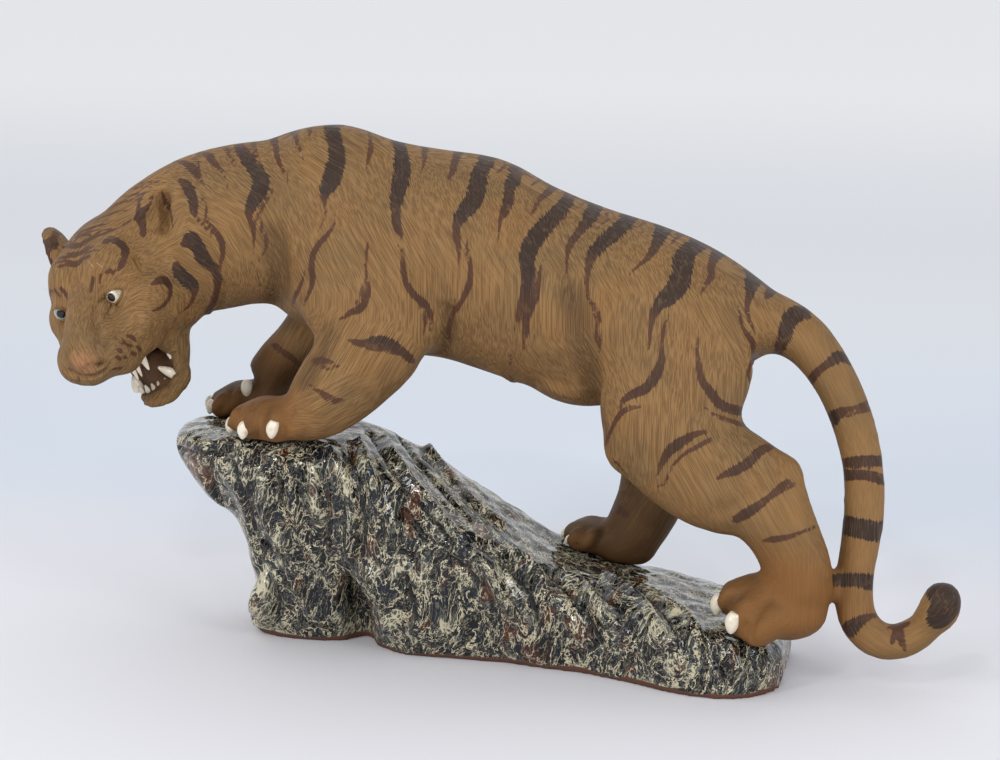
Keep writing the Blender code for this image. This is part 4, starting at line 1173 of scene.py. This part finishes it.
for rows in SHADE_STROKES:
    line = drop_on(clay_tree, rows)
    for laid in (line, settle(clay_tree, flip_trunk(line, 0))):
        if len(laid) > 1:
            signed_distance(clay, laid, painted_shade, no_tone, np.zeros(len(laid)), reach=9)
# Painted shade by the way the clay faces: a little on top, more underneath, and full on the far legs.
topside = np.clip(normals_of(tiger)[:, 2] * 1.6 - 0.2, 0, 1)
underside = np.clip(-normals_of(tiger)[:, 2], 0, 1)
far_leg_shade = np.clip((clay[:, 1] - 4) / 12, 0, 1) * np.clip((150 - clay[:, 2]) / 20, 0, 1)
painted_shade = GROOVE_SHADE * np.clip(1 - (painted_shade + SHADE_INSIDE) / SHADE_FADE, 0, 1)
for mask in (UNDERSIDE_SHADE * underside, far_leg_shade, TOPSIDE_SHADE * topside):
    painted_shade = np.maximum(painted_shade, mask)
store(tiger, "painted_shade", painted_shade * (1 - near(clay, on_head(*EAR_LEFT), 13)))
print("wash on", int((painted_shade > 0.1).sum()), "points")

# %% [markdown]
# The paws, the mouth and the nose are balls with a soft rim. The comb marks are weaker on the paws,
# the legs and the tail, so the mask for the combing joins the balls of the paws with two soft steps,
# one by height and one by the distance towards the tail.

# %% Masks of the paws, mouth, nose and combing
PAW_MASKS = [(-112, -33, 113, 26), (-133, 18, 118, 24), (46, 25, 48, 24), (136, -36, 38, 30)]
MOUTH_MIDDLE = [(-22, 0, -42, 9), (-14, 0, -45, 12), (-4, 0, -46, 12)]
PAW_CALM, LEG_CALM, TAIL_CALM = 0.75, 0.6, 0.6
NOSE_REACH = 3.5
paws = np.zeros(len(clay))
for x, y, z, radius in PAW_MASKS:
    paws = np.maximum(paws, near(clay, (x, y, z), radius, soft=0.6))
store(tiger, "paws", paws)
legs = np.clip((115 - clay[:, 2]) / 50, 0, 1) * (clay[:, 0] > -60)
tail = np.clip((clay[:, 0] - 128) / 20, 0, 1)
calm = np.maximum(PAW_CALM * paws, np.maximum(LEG_CALM * legs, TAIL_CALM * tail))
store(tiger, "combing", 1 - calm)
head = head_places(clay)
mouth = np.zeros(len(clay))
for forward, left, height, radius in MOUTH_MIDDLE:
    mouth = np.maximum(mouth, near(clay, on_head(forward, left, height), radius, soft=0.25))
mouth *= np.clip((head[:, 2] + 55) / 3, 0, 1)
store(tiger, "mouth", mouth)
nose_middle = drop_on(clay_tree, [(83, 364, 2), (85, 366, 2)])[0, :3]
store(tiger, "nose", near(clay, nose_middle, NOSE_REACH, soft=1.6))
print("masks stored")

# %% [markdown]
# The comb's teeth left fine ridges, far too many to model one by one. A noise stretched long and
# thin looks like them. Its six turned copies are added up by the weights that the clay holds.

# %% Comb pattern of the stoneware
HAIR_WIDTH, HAIR_DEPTH, HAIR_LENGTH = 0.00044, 0.0017, 0.022

material, tree, shader = new_material("stoneware")
place = object_place(tree)
wavy = warped(tree, place, 50, 0.0012)
hair = 0.0
for name, first in (("comb_a", 0), ("comb_b", 3)):
    split = tree.nodes.new("ShaderNodeSeparateXYZ")
    feed(tree, split.inputs[0], attribute(tree, name, "Vector"))
    for index in range(3):
        angle = math.radians((first + index) * COMB_STEP)
        stretch = (1 / HAIR_LENGTH, 1 / HAIR_DEPTH, 1 / HAIR_WIDTH)
        lined = moved(tree, wavy, scale=stretch, turn=(0, angle, 0))
        height = noise_of(tree, lined, 1.0, detail=1.0, roughness=0.5).outputs["Fac"]
        hair = maths(tree, "MULTIPLY_ADD", height, split.outputs[index], hair)
hair_sharp = ramp(tree, hair, 0.38, 0.62)
combing = attribute(tree, "combing")
print("six comb patterns,", HAIR_WIDTH / MM, "mm between the ridges")

# %% [markdown]
# The stoneware is tan and drifts to olive and to orange-brown. The paws are browner, painted shade lies
# in the dark places, and the comb pattern gives painted highlights on its ridges and painted shade in its
# grooves.

# %% Colours of the coat
TAN, OLIVE, ORANGE = (0.248, 0.134, 0.049, 1), (0.198, 0.115, 0.045, 1), (0.260, 0.126, 0.040, 1)
# The darkest brown here is painted shade, and the lightest a painted highlight on the comb's ridges.
PAW_BROWN, SHADE_BROWN, RIDGE_HIGHLIGHT = (0.21, 0.092, 0.026, 1), (0.072, 0.038, 0.016, 1), (0.42, 0.27, 0.12, 1)
NOSE_PINK = (0.33, 0.155, 0.070, 1)
drift = noise_of(tree, place, 28, detail=3).outputs["Fac"]
patch = noise_of(tree, moved(tree, place, shift=(3, 1, 2)), 45, detail=3).outputs["Fac"]
coat = blend_colours(tree, ramp(tree, drift, 0.42, 0.68), TAN, OLIVE)
coat = blend_colours(tree, ramp(tree, patch, 0.46, 0.74, 0, 0.5), coat, ORANGE)
coat = blend_colours(tree, attribute(tree, "paws"), coat, PAW_BROWN)
nose_share = attribute(tree, "nose")
coat = blend_colours(tree, nose_share, coat, NOSE_PINK)
# Painted shade in the grooves, under the body, on the far legs and a little on top.
coat = blend_colours(tree, maths(tree, "MULTIPLY", attribute(tree, "painted_shade"), 0.9), coat, SHADE_BROWN)
# Painted shade in the comb's grooves, and a painted highlight on its ridges.
comb_groove_shade = maths(tree, "MULTIPLY", combing, ramp(tree, hair_sharp, 0.55, 0.0, 0, 0.42))
comb_ridge_highlight = maths(tree, "MULTIPLY", combing, ramp(tree, hair_sharp, 0.6, 1.0, 0, 0.16))
coat = blend_colours(tree, comb_groove_shade, coat, SHADE_BROWN)
coat = blend_colours(tree, comb_ridge_highlight, coat, RIDGE_HIGHLIGHT)
print("coat coloured")

# %% [markdown]
# The slip was brushed over the ridges, so the edge of a stripe is ragged along the hairs, and the
# slip is worn on the highest ones. A stripe's edge is moved by the comb pattern to show that.

# %% Slip of the stripes, and the finished stoneware
SLIP_BLACK, SLIP_RUST = (0.036, 0.020, 0.013, 1), (0.085, 0.034, 0.016, 1)
SLIP_WORN, MOUTH_BROWN = (0.10, 0.060, 0.038, 1), (0.16, 0.086, 0.046, 1)
ragged = maths(tree, "MULTIPLY_ADD", attribute(tree, "stripe_tone"), 2.6, 1.0)
raised = maths(tree, "SUBTRACT", hair, 0.5)
edge = maths(tree, "MULTIPLY_ADD", raised, ragged, attribute(tree, "stripe_gap"))
slip_share = ramp(tree, edge, 0.35, -0.25)
slip = blend_colours(tree, attribute(tree, "stripe_tone"), SLIP_RUST, SLIP_BLACK)
slip = blend_colours(tree, ramp(tree, hair_sharp, 0.62, 1.0, 0, 0.45), slip, SLIP_WORN)
worn = ramp(tree, noise_of(tree, place, 220, detail=2).outputs["Fac"], 0.58, 0.75, 1.0, 0.72)
colour = blend_colours(tree, maths(tree, "MULTIPLY", slip_share, worn), coat, slip)
colour = blend_colours(tree, attribute(tree, "mouth"), colour, MOUTH_BROWN)
feed(tree, shader.inputs["Base Color"], colour)
feed(tree, shader.inputs["Roughness"], ramp(tree, slip_share, 0, 1, 0.62, 0.50))
shader.inputs["Specular IOR Level"].default_value = 0.2
off_nose = maths(tree, "SUBTRACT", 1.0, nose_share)
hair_height = maths(tree, "MULTIPLY", hair, maths(tree, "MULTIPLY", combing, off_nose))
feed(tree, shader.inputs["Normal"], bump(tree, hair_height, 0.0007, 0.8))
paint(tiger, material)
shade_smooth(tiger)
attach(tiger, "root")
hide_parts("tiger")
print("stoneware painted")

# %% [markdown]
# The rock was put together from slabs and lumps of clay, pinched into lobes that hang down like
# drips. Its folds are drawn as strokes on the picture, as those of the coat are: a depth, then the
# pixel rows, and a negative depth is a lobe.

# %% Strokes of the rock
ROCK_FOLDS = [
    (1.3, [(172, 446, 5), (187, 452, 5), (200, 456, 5), (212, 453, 4)]),
    (1.2, [(236, 446, 6), (214, 455, 6), (209, 468, 6), (213, 486, 6), (222, 504, 6)]),
    (1.4, [(232, 462, 6), (239, 488, 7), (247, 507, 7), (254, 534, 8)]),
    (-1.8, [(264, 478, 14), (262, 498, 16), (270, 522, 14), (282, 540, 12)]),
    (1.2, [(254, 484, 5), (252, 500, 5), (258, 518, 5)]),
    (1.3, [(276, 474, 6), (278, 492, 6), (280, 508, 5)]),
    (-1.3, [(287, 466, 9), (290, 490, 9), (296, 516, 9), (303, 540, 9)]),
    (1.2, [(297, 470, 5), (301, 492, 5), (307, 512, 5)]),
    (-1.2, [(310, 462, 10), (313, 486, 10), (316, 510, 9)]),
    (1.2, [(322, 470, 5), (326, 492, 6), (330, 520, 6), (326, 545, 6)]),
    (-1.6, [(330, 452, 10), (342, 474, 10), (350, 500, 10), (352, 530, 12), (350, 552, 10)]),
    (-2.0, [(312, 545, 12), (322, 560, 12), (334, 578, 9)]),
    (1.4, [(352, 448, 6), (354, 474, 6), (360, 500, 7), (364, 528, 7), (360, 560, 8)]),
    (-1.6, [(358, 442, 8), (369, 470, 9), (378, 500, 9), (392, 520, 8), (393, 542, 8)]),
    (2.4, [(404, 512, 9), (414, 526, 12), (422, 540, 9)]),
    (1.8, [(400, 553, 7), (412, 557, 7)]),
    (2.2, [(263, 544, 8), (270, 556, 8)]),
    (-2.4, [(270, 580, 12), (266, 600, 16), (267, 620, 14)]),
    (-2.0, [(262, 588, 10), (261, 604, 12), (262, 622, 10)]),
    (1.3, [(275, 580, 5), (278, 600, 6), (277, 622, 6)]),
    (-1.4, [(300, 588, 14), (312, 610, 14)]),
    (-1.4, [(384, 440, 10), (402, 470, 10), (424, 498, 12), (452, 530, 12)]),
    (1.6, [(370, 432, 5), (392, 466, 5), (410, 490, 6), (430, 512, 6), (448, 540, 6)]),
    (1.5, [(398, 434, 4), (418, 462, 5), (444, 492, 6), (470, 520, 6)]),
    (-1.5, [(412, 430, 9), (436, 462, 9), (466, 498, 10), (500, 526, 10)]),
    (-1.8, [(372, 575, 16), (384, 600, 18), (390, 628, 16)]),
    (1.4, [(404, 576, 8), (412, 600, 8), (416, 622, 6)]),
    (-1.2, [(434, 566, 12), (446, 592, 14), (448, 620, 14)]),
    (1.6, [(452, 560, 5), (468, 572, 6), (482, 592, 7), (494, 616, 7)]),
    (-2.0, [(470, 552, 12), (486, 566, 12), (500, 590, 13), (512, 612, 10)]),
    (1.7, [(484, 548, 5), (504, 560, 6), (520, 580, 6), (532, 606, 7), (540, 628, 6)]),
    (-2.2, [(512, 556, 14), (528, 566, 14), (540, 580, 12)]),
    (-1.4, [(552, 596, 12), (568, 614, 13), (580, 634, 12)]),
    (1.6, [(544, 566, 5), (558, 580, 6), (576, 600, 7), (590, 624, 7), (600, 646, 6)]),
    (-2.0, [(556, 574, 10), (576, 584, 12), (594, 600, 12), (608, 622, 12)]),
    (1.4, [(588, 580, 5), (606, 592, 6), (622, 612, 7), (634, 640, 7)]),
    (-1.6, [(606, 578, 10), (628, 592, 12), (648, 612, 13), (662, 640, 12)]),
    (1.3, [(634, 584, 5), (654, 600, 6), (672, 622, 7), (684, 652, 7)]),
    (-1.4, [(668, 604, 12), (690, 620, 14), (700, 646, 14)]),
    (1.2, [(704, 640, 7), (716, 660, 8), (722, 684, 7)]),
    (-1.2, [(730, 646, 14), (738, 668, 14)]),
    (1.0, [(752, 654, 6), (760, 676, 8)]),
]

print(len(ROCK_FOLDS), "strokes for the rock")

# %% [markdown]
# The strokes reach only the side that the picture shows, so the whole rock is first made uneven by
# two cloud patterns, one coarse and one fine, stretched upright. The flat foot is held still. How
# far a stroke moved each point is kept as its relief, because the glaze pools in the hollows.

# %% Fold the rock
ROCK_VOXEL, ROCK_SMOOTH_PASSES = 0.0017, 14
FOLD_STRENGTH = 2.7
LUMPS = [((0.016, 0.016, 0.034), 0.0030), ((0.006, 0.006, 0.011), 0.0010)]
FOOT_HEIGHT = 0.05
rock = copy_node("rock_base", "glazed_rock")
apply_modifier(rock, "REMESH", mode="VOXEL", voxel_size=ROCK_VOXEL)
stone = points_of(rock)
weigh(rock, "smoothing", np.clip((stone[:, 2] - 1) / 4, 0, 1))
apply_modifier(rock, "SMOOTH", factor=0.5, iterations=ROCK_SMOOTH_PASSES, vertex_group="smoothing")
for stretch, depth in LUMPS:
    bpy.ops.object.empty_add(location=(0.1, 0.2, 0.3))
    measure = bpy.context.active_object
    measure.scale = stretch
    clouds = bpy.data.textures.new("lumps", "CLOUDS")
    clouds.noise_scale = 1.0
    clouds.noise_depth = 1
    apply_modifier(rock, "DISPLACE", texture=clouds, texture_coords="OBJECT",
                   texture_coords_object=measure, strength=depth, mid_level=0.5,
                   vertex_group="smoothing")
    bpy.data.objects.remove(measure)
before = points_of(rock)
sculpt(rock, [(depth * FOLD_STRENGTH, rows) for depth, rows in ROCK_FOLDS])
folded = points_of(rock)
relief = ((folded - before) * normals_of(rock)).sum(axis=1)
store(rock, "relief", relief)
folded[:, 2] = np.maximum(folded[:, 2], FOOT_HEIGHT)
set_points(rock, folded)
print("rock", len(folded), "points")
print("relief from", relief.min().round(1), "to", relief.max().round(1), "mm")

# %% [markdown]
# Cream glaze lies over the black one and has run in the fire, so it forms a net round dark islands,
# drawn out downwards. The place is pushed about by two noises first, so that all that follows
# flows. The walls between the cells of a Voronoi pattern are then the net, wider where there is
# more cream, and the middle values of two noises are the finer threads.

# %% Net of cream in the glaze
FLOW_STRETCH, FLOW_TURN = (1.0, 1.0, 0.55), math.radians(-18)
CELL_SCALE = 400

material, tree, shader = new_material("rock_glaze")
place = object_place(tree)
flow = moved(tree, place, scale=FLOW_STRETCH, turn=(0, FLOW_TURN, 0))
flow = warped(tree, warped(tree, flow, 38, 0.018), 130, 0.0065, detail=3)
body = noise_of(tree, flow, 200, detail=6, roughness=0.68).outputs["Fac"]
net = noise_of(tree, moved(tree, flow, shift=(1, 2, 3)), 150, detail=4, roughness=0.62).outputs["Fac"]
fine = noise_of(tree, moved(tree, flow, shift=(4, 2, 1)), 420, detail=3, roughness=0.6).outputs["Fac"]
cover = noise_of(tree, moved(tree, place, shift=(5, 1, 2)), 55, detail=2).outputs["Fac"]
relief_value = attribute(tree, "relief")
cover = maths(tree, "ADD", cover, ramp(tree, relief_value, -3, 3, -0.06, 0.05))
spots = tree.nodes.new("ShaderNodeTexVoronoi")
feed(tree, spots.inputs["Vector"], flow)
spots.feature = "DISTANCE_TO_EDGE"
spots.inputs["Scale"].default_value = CELL_SCALE
wide = maths(tree, "MULTIPLY_ADD", cover, 1.0, -0.70)
wide = maths(tree, "MULTIPLY_ADD", body, 0.7, maths(tree, "SUBTRACT", wide, 0.35))
cells = ramp(tree, maths(tree, "SUBTRACT", spots.outputs["Distance"], wide), 0.15, 0.03)
thread = ramp(tree, maths(tree, "ABSOLUTE", maths(tree, "SUBTRACT", net, 0.5)), 0.022, 0.006)
hairline = ramp(tree, maths(tree, "ABSOLUTE", maths(tree, "SUBTRACT", fine, 0.5)), 0.026, 0.007, 0, 0.35)
cream = maths(tree, "MAXIMUM", maths(tree, "MAXIMUM", thread, hairline), cells)
print("net of cream made, cells", 1 / CELL_SCALE / MM, "mm wide")

# %% [markdown]
# The hollows stay nearly black, and the opening under the rock's front, which is a ball stretched
# upright, is painted nearly black too, as its shadow. Most of the cream and of the milky veil is taken
# away again there.

# %% Hollows and milky veil
ARCH_PLACE = (-69, -30, 2)
ARCH_STRETCH = (1.0, 0.4, 0.32)
HOLLOW_SHARE = 0.85
hollow = ramp(tree, relief_value, -0.8, -3.2, 0, HOLLOW_SHARE)
# Painted shadow in the opening under the rock's front.
arch = tree.nodes.new("ShaderNodeVectorMath")
arch.operation = "DISTANCE"
feed(tree, arch.inputs[0], moved(tree, place, scale=ARCH_STRETCH))
arch.inputs[1].default_value = [number * MM * share for number, share in zip(ARCH_PLACE, ARCH_STRETCH)]
arch_shadow = ramp(tree, arch.outputs["Value"], 0.0135, 0.0095, 0, HOLLOW_SHARE)
hollow = maths(tree, "MAXIMUM", hollow, arch_shadow)
cream = maths(tree, "MULTIPLY", cream, maths(tree, "SUBTRACT", 1.0, hollow))
milk = ramp(tree, maths(tree, "MULTIPLY_ADD", cover, 0.7, body), 0.88, 1.10)
milk = maths(tree, "MULTIPLY", milk, maths(tree, "SUBTRACT", 1.0, hollow))
print("opening at", ARCH_PLACE, "mm kept dark")

# %% [markdown]
# The colours go on in the order of the real layers: black, ink blue and rust in the ground glaze,
# then the veil, then the cream. Bare clay shows in a thin line at the foot. The shine is that of
# glass, and slow ripples in the surface break up what it mirrors.

# %% Colours and shine of the glaze
BLACK, INK, MILK = (0.003, 0.0032, 0.004, 1), (0.008, 0.011, 0.016, 1), (0.085, 0.105, 0.095, 1)
CREAM, RUST, CLAY = (0.60, 0.53, 0.36, 1), (0.075, 0.020, 0.008, 1), (0.11, 0.045, 0.025, 1)
GLAZE_ROUGHNESS, CLAY_ROUGHNESS = 0.05, 0.8
colour = blend_colours(tree, ramp(tree, net, 0.35, 0.6), BLACK, INK)
rusty = noise_of(tree, moved(tree, flow, shift=(7, 3, 1)), 70, detail=2).outputs["Fac"]
colour = blend_colours(tree, ramp(tree, rusty, 0.56, 0.68, 0, 0.9), colour, RUST)
colour = blend_colours(tree, milk, colour, MILK)
colour = blend_colours(tree, maths(tree, "MULTIPLY", cream, 0.92), colour, CREAM)
height_split = tree.nodes.new("ShaderNodeSeparateXYZ")
feed(tree, height_split.inputs[0], place)
edge_height = maths(tree, "MULTIPLY_ADD", cover, -0.006, height_split.outputs["Z"])
bare = ramp(tree, edge_height, -0.0002, -0.0010)
colour = blend_colours(tree, bare, colour, CLAY)
feed(tree, shader.inputs["Base Color"], colour)
feed(tree, shader.inputs["Roughness"], ramp(tree, bare, 0, 1, GLAZE_ROUGHNESS, CLAY_ROUGHNESS))
shader.inputs["Specular IOR Level"].default_value = 0.42
ripple = noise_of(tree, place, 95, detail=1).outputs["Fac"]
feed(tree, shader.inputs["Normal"], bump(tree, ripple, 0.0022, 0.7))
paint(rock, material)
shade_smooth(rock)
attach(rock, "root")
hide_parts("rock_base")
print("rock glazed")

# %% [markdown]
# Claws and teeth are small glazed cones, ivory with browner stains. Some light goes into the glaze
# and comes out again beside that place, so the material lets a little of it through.

# %% Ivory glaze
IVORY, IVORY_STAIN = (0.78, 0.70, 0.57, 1), (0.55, 0.44, 0.29, 1)
material, tree, shader = new_material("ivory_enamel")
stain = noise_of(tree, object_place(tree), 300, detail=3).outputs["Fac"]
ivory = blend_colours(tree, ramp(tree, stain, 0.45, 0.75, 0, 0.6), IVORY, IVORY_STAIN)
feed(tree, shader.inputs["Base Color"], ivory)
shader.inputs["Roughness"].default_value = 0.22
shader.inputs["Subsurface Weight"].default_value = 0.15
shader.inputs["Subsurface Radius"].default_value = (1.0, 0.7, 0.5)
shader.inputs["Subsurface Scale"].default_value = 0.001


def finish_piece(piece, material, slot, *replaced):
    paint(piece, material)
    shade_smooth(piece)
    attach(piece, "root")
    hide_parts(*replaced)


print("ivory glaze ready")

# %% [markdown]
# The copies of the solid claws and teeth are made thicker or thinner. Nine teeth and six claws also
# move, to where the photograph shows them. A tooth moves across the picture at its own distance,
# by up to 3.5 mm. A claw moves onto the clay under its pixel, by 4 to 10 mm, and one is sunk into
# its paw. These copies are therefore not where the solid ones are, and a model that has to agree
# with the solid parts leaves both tables of places empty.

# %% Places and thickness of the claws and teeth
SWELLS = {
    "lower_incisor_5": (0.8, 1.6), "lower_incisor": (0.8, 1.25), "upper_incisor_right": (0.6, 0.6),
    "upper_canine_right": (0.7, 0.7), "lower_canine_right": (0.8, 1.15),
    "claw_hind_right": (0.6, 0.9), "claw": (0.85, 1.5),
}
TOOTH_PLACES = {
    "lower_incisor_1": (141.8, 390), "lower_incisor_2": (147.3, 389.3),
    "lower_incisor_3": (153.5, 387.5), "lower_incisor_4": (159.5, 385.3),
    "lower_incisor_5": (167.5, 382), "lower_canine_right": (136, 383),
    "upper_incisor_left_1": (138, 368.5), "upper_incisor_left_2": (134, 371.5),
    "upper_canine_right": (107, 364),
}
CLAW_PLACES = {
    "claw_fore_left_2": (228, 428), "claw_fore_left_3": (244, 431), "claw_fore_left_4": (272, 430.5),
    "claw_hind_left_2": (712, 607), "claw_hind_left_3": (733, 624), "claw_hind_left_4": (752, 628),
}
CLAW_LIFT = {"claw_hind_left_4": -8.0}
USUAL_CLAW_LIFT = 0.4
clay_tree = tree_of(tiger)


def shaped(points, along, across):
    """Scale a long piece about its middle, by one factor along it and another across it."""
    middle = points.mean(axis=0)
    way = np.linalg.svd(points - middle)[2][0]
    length = ((points - middle) @ way)[:, None] * way
    return middle + length * along + (points - middle - length) * across


def under_pixel(points, x, y):
    """Move a piece across the picture, at its own distance, so that its middle is under a pixel."""
    middle = points.mean(axis=0)
    way = np.array(picture_ray(x, y))
    depth = (CAMERA_PLACE - middle) @ CAMERA_ROWS[2]
    return points + CAMERA_PLACE + way * depth / -(way @ CAMERA_ROWS[2]) - middle


def onto_pixel(points, x, y, lift):
    """Move a piece so that its middle lies on the clay under a pixel, lifted off it by some mm."""
    hit, normal, _, far = clay_tree.ray_cast(eye_point, picture_ray(x, y))
    if hit is None:
        far = np.linalg.norm(points.mean(axis=0) - CAMERA_PLACE)
        hit, normal, _, _ = clay_tree.find_nearest(eye_point + picture_ray(x, y) * far)
    return points + np.array(hit + normal * lift) - points.mean(axis=0)


print(len(TOOTH_PLACES), "teeth and", len(CLAW_PLACES), "claws have a place in the picture")

# %% [markdown]
# The solid claws and teeth have few sides. A subdivision rounds each copy. Every one stays a piece
# of its own, because each was set into the clay by itself.

# %% Round the claws and teeth
HARD_WORDS = ("claw", "incisor", "canine", "molar")
hard_names = [name for name in sorted(nodes) if any(word in name for word in HARD_WORDS)]
for name in hard_names:
    piece = copy_node(name, "ivory_" + name)
    along, across = next((factors for part, factors in SWELLS.items() if part in name), (1.0, 1.0))
    tooth = shaped(points_of(piece), along, across)
    if name in TOOTH_PLACES:
        tooth = under_pixel(tooth, *TOOTH_PLACES[name])
    if name in CLAW_PLACES:
        tooth = onto_pixel(tooth, *CLAW_PLACES[name], CLAW_LIFT.get(name, USUAL_CLAW_LIFT))
    set_points(piece, tooth)
    apply_modifier(piece, "SUBSURF", levels=2)
    finish_piece(piece, material, "ivory_enamel", name)
print(len(hard_names), "claws and teeth rounded")

# %% [markdown]
# The eyes are glazed balls with a painted pupil. The pupil could be a disc of its own, but paint has
# no thickness, so it is a spot of colour: all that is near the point where the eye looks out.

# %% Eyes
PUPIL_RADIUS, PUPIL_SOFTNESS = 2.3, 0.15
PUPIL_BLACK, EYE_RIM = (0.010, 0.008, 0.006, 1), (0.36, 0.30, 0.20, 1)
# The far eye's darker grey-green tint is painted shade.
EYE_LIT_AND_SHADED_TINTS = {"eye_left": (0.62, 0.57, 0.43, 1), "eye_right": (0.27, 0.31, 0.28, 1)}

for name in ("eye_left", "eye_right"):
    middle = EYE_MIDDLES[name]
    aim = on_ball(middle, *PUPIL_PLACES[name])
    bpy.ops.object.select_all(action="DESELECT")
    bpy.ops.mesh.primitive_uv_sphere_add(segments=48, ring_count=24, radius=EYE_RADIUS * MM,
                                         location=middle * MM)
    eye = bpy.context.active_object
    eye.name = "glazed_" + name
    bpy.ops.object.transform_apply(location=True, rotation=True, scale=True)
    material, tree, shader = new_material("eye_glaze_" + name)
    front = tree.nodes.new("ShaderNodeVectorMath")
    front.operation = "DISTANCE"
    feed(tree, front.inputs[0], object_place(tree))
    front.inputs[1].default_value = (middle + aim * EYE_RADIUS) * MM
    from_pupil = front.outputs["Value"]
    tint = blend_colours(tree, ramp(tree, from_pupil, 0.0030, 0.0042), EYE_LIT_AND_SHADED_TINTS[name], EYE_RIM)
    pupil_edges = (PUPIL_RADIUS + PUPIL_SOFTNESS) * MM, (PUPIL_RADIUS - PUPIL_SOFTNESS) * MM
    pupil = ramp(tree, from_pupil, *pupil_edges)
    feed(tree, shader.inputs["Base Color"], blend_colours(tree, pupil, tint, PUPIL_BLACK))
    shader.inputs["Roughness"].default_value = 0.08
    finish_piece(eye, material, "eye_glaze", name)
print("eyes painted")

# %% [markdown]
# The bristles over the eyes are fine pale hairs that bend upwards. A curve with a round section
# that gets thinner to the tip makes one with few numbers. It runs between the two ends of the
# solid bristle, with its thick end at the brow, and is turned into a mesh at the end.

# %% Bristles
BRISTLE_THICKNESS = 0.00016
BRISTLE_BEND = 1.6
BRISTLE_STEPS, TIP_THINNING = 8, 0.7
BRISTLE_CREAM = (0.72, 0.66, 0.52, 1)
material, tree, shader = new_material("bristle")
shader.inputs["Base Color"].default_value = BRISTLE_CREAM
shader.inputs["Roughness"].default_value = 0.4
for name in [name for name in sorted(nodes) if name.startswith("brow_bristle")]:
    solid = points_of(nodes[name])
    span = solid - solid.mean(axis=0)
    way = np.linalg.svd(span)[2][0]
    shares = span @ way
    low, high = solid[shares.argmin()], solid[shares.argmax()]
    if np.linalg.norm(head_places(low[None])[0]) > np.linalg.norm(head_places(high[None])[0]):
        low, high = high, low
    curve = bpy.data.curves.new("pale_" + name, "CURVE")
    curve.dimensions = "3D"
    curve.bevel_depth = BRISTLE_THICKNESS
    curve.bevel_resolution = 1
    spline = curve.splines.new("POLY")
    spline.points.add(BRISTLE_STEPS)
    for index in range(BRISTLE_STEPS + 1):
        share = index / BRISTLE_STEPS
        bend = BRISTLE_BEND * math.sin(share * math.pi)
        spot = (low + (high - low) * share + np.array((0, 0, 1)) * bend) * MM
        spline.points[index].co = (*spot, 1)
        spline.points[index].radius = 1 - TIP_THINNING * share
    hair = bpy.data.objects.new("pale_" + name, curve)
    bpy.context.collection.objects.link(hair)
    bpy.ops.object.select_all(action="DESELECT")
    hair.select_set(True)
    bpy.context.view_layer.objects.active = hair
    bpy.ops.object.convert(target="MESH")
    finish_piece(bpy.context.active_object, material, "bristle", name)
print("bristles placed")

# %% [markdown]
# Last, the size is measured again and printed.

# %% Measure and finish
low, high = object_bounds()
print("visual box", [round(v / MM, 1) for v in low], [round(v / MM, 1) for v in high])
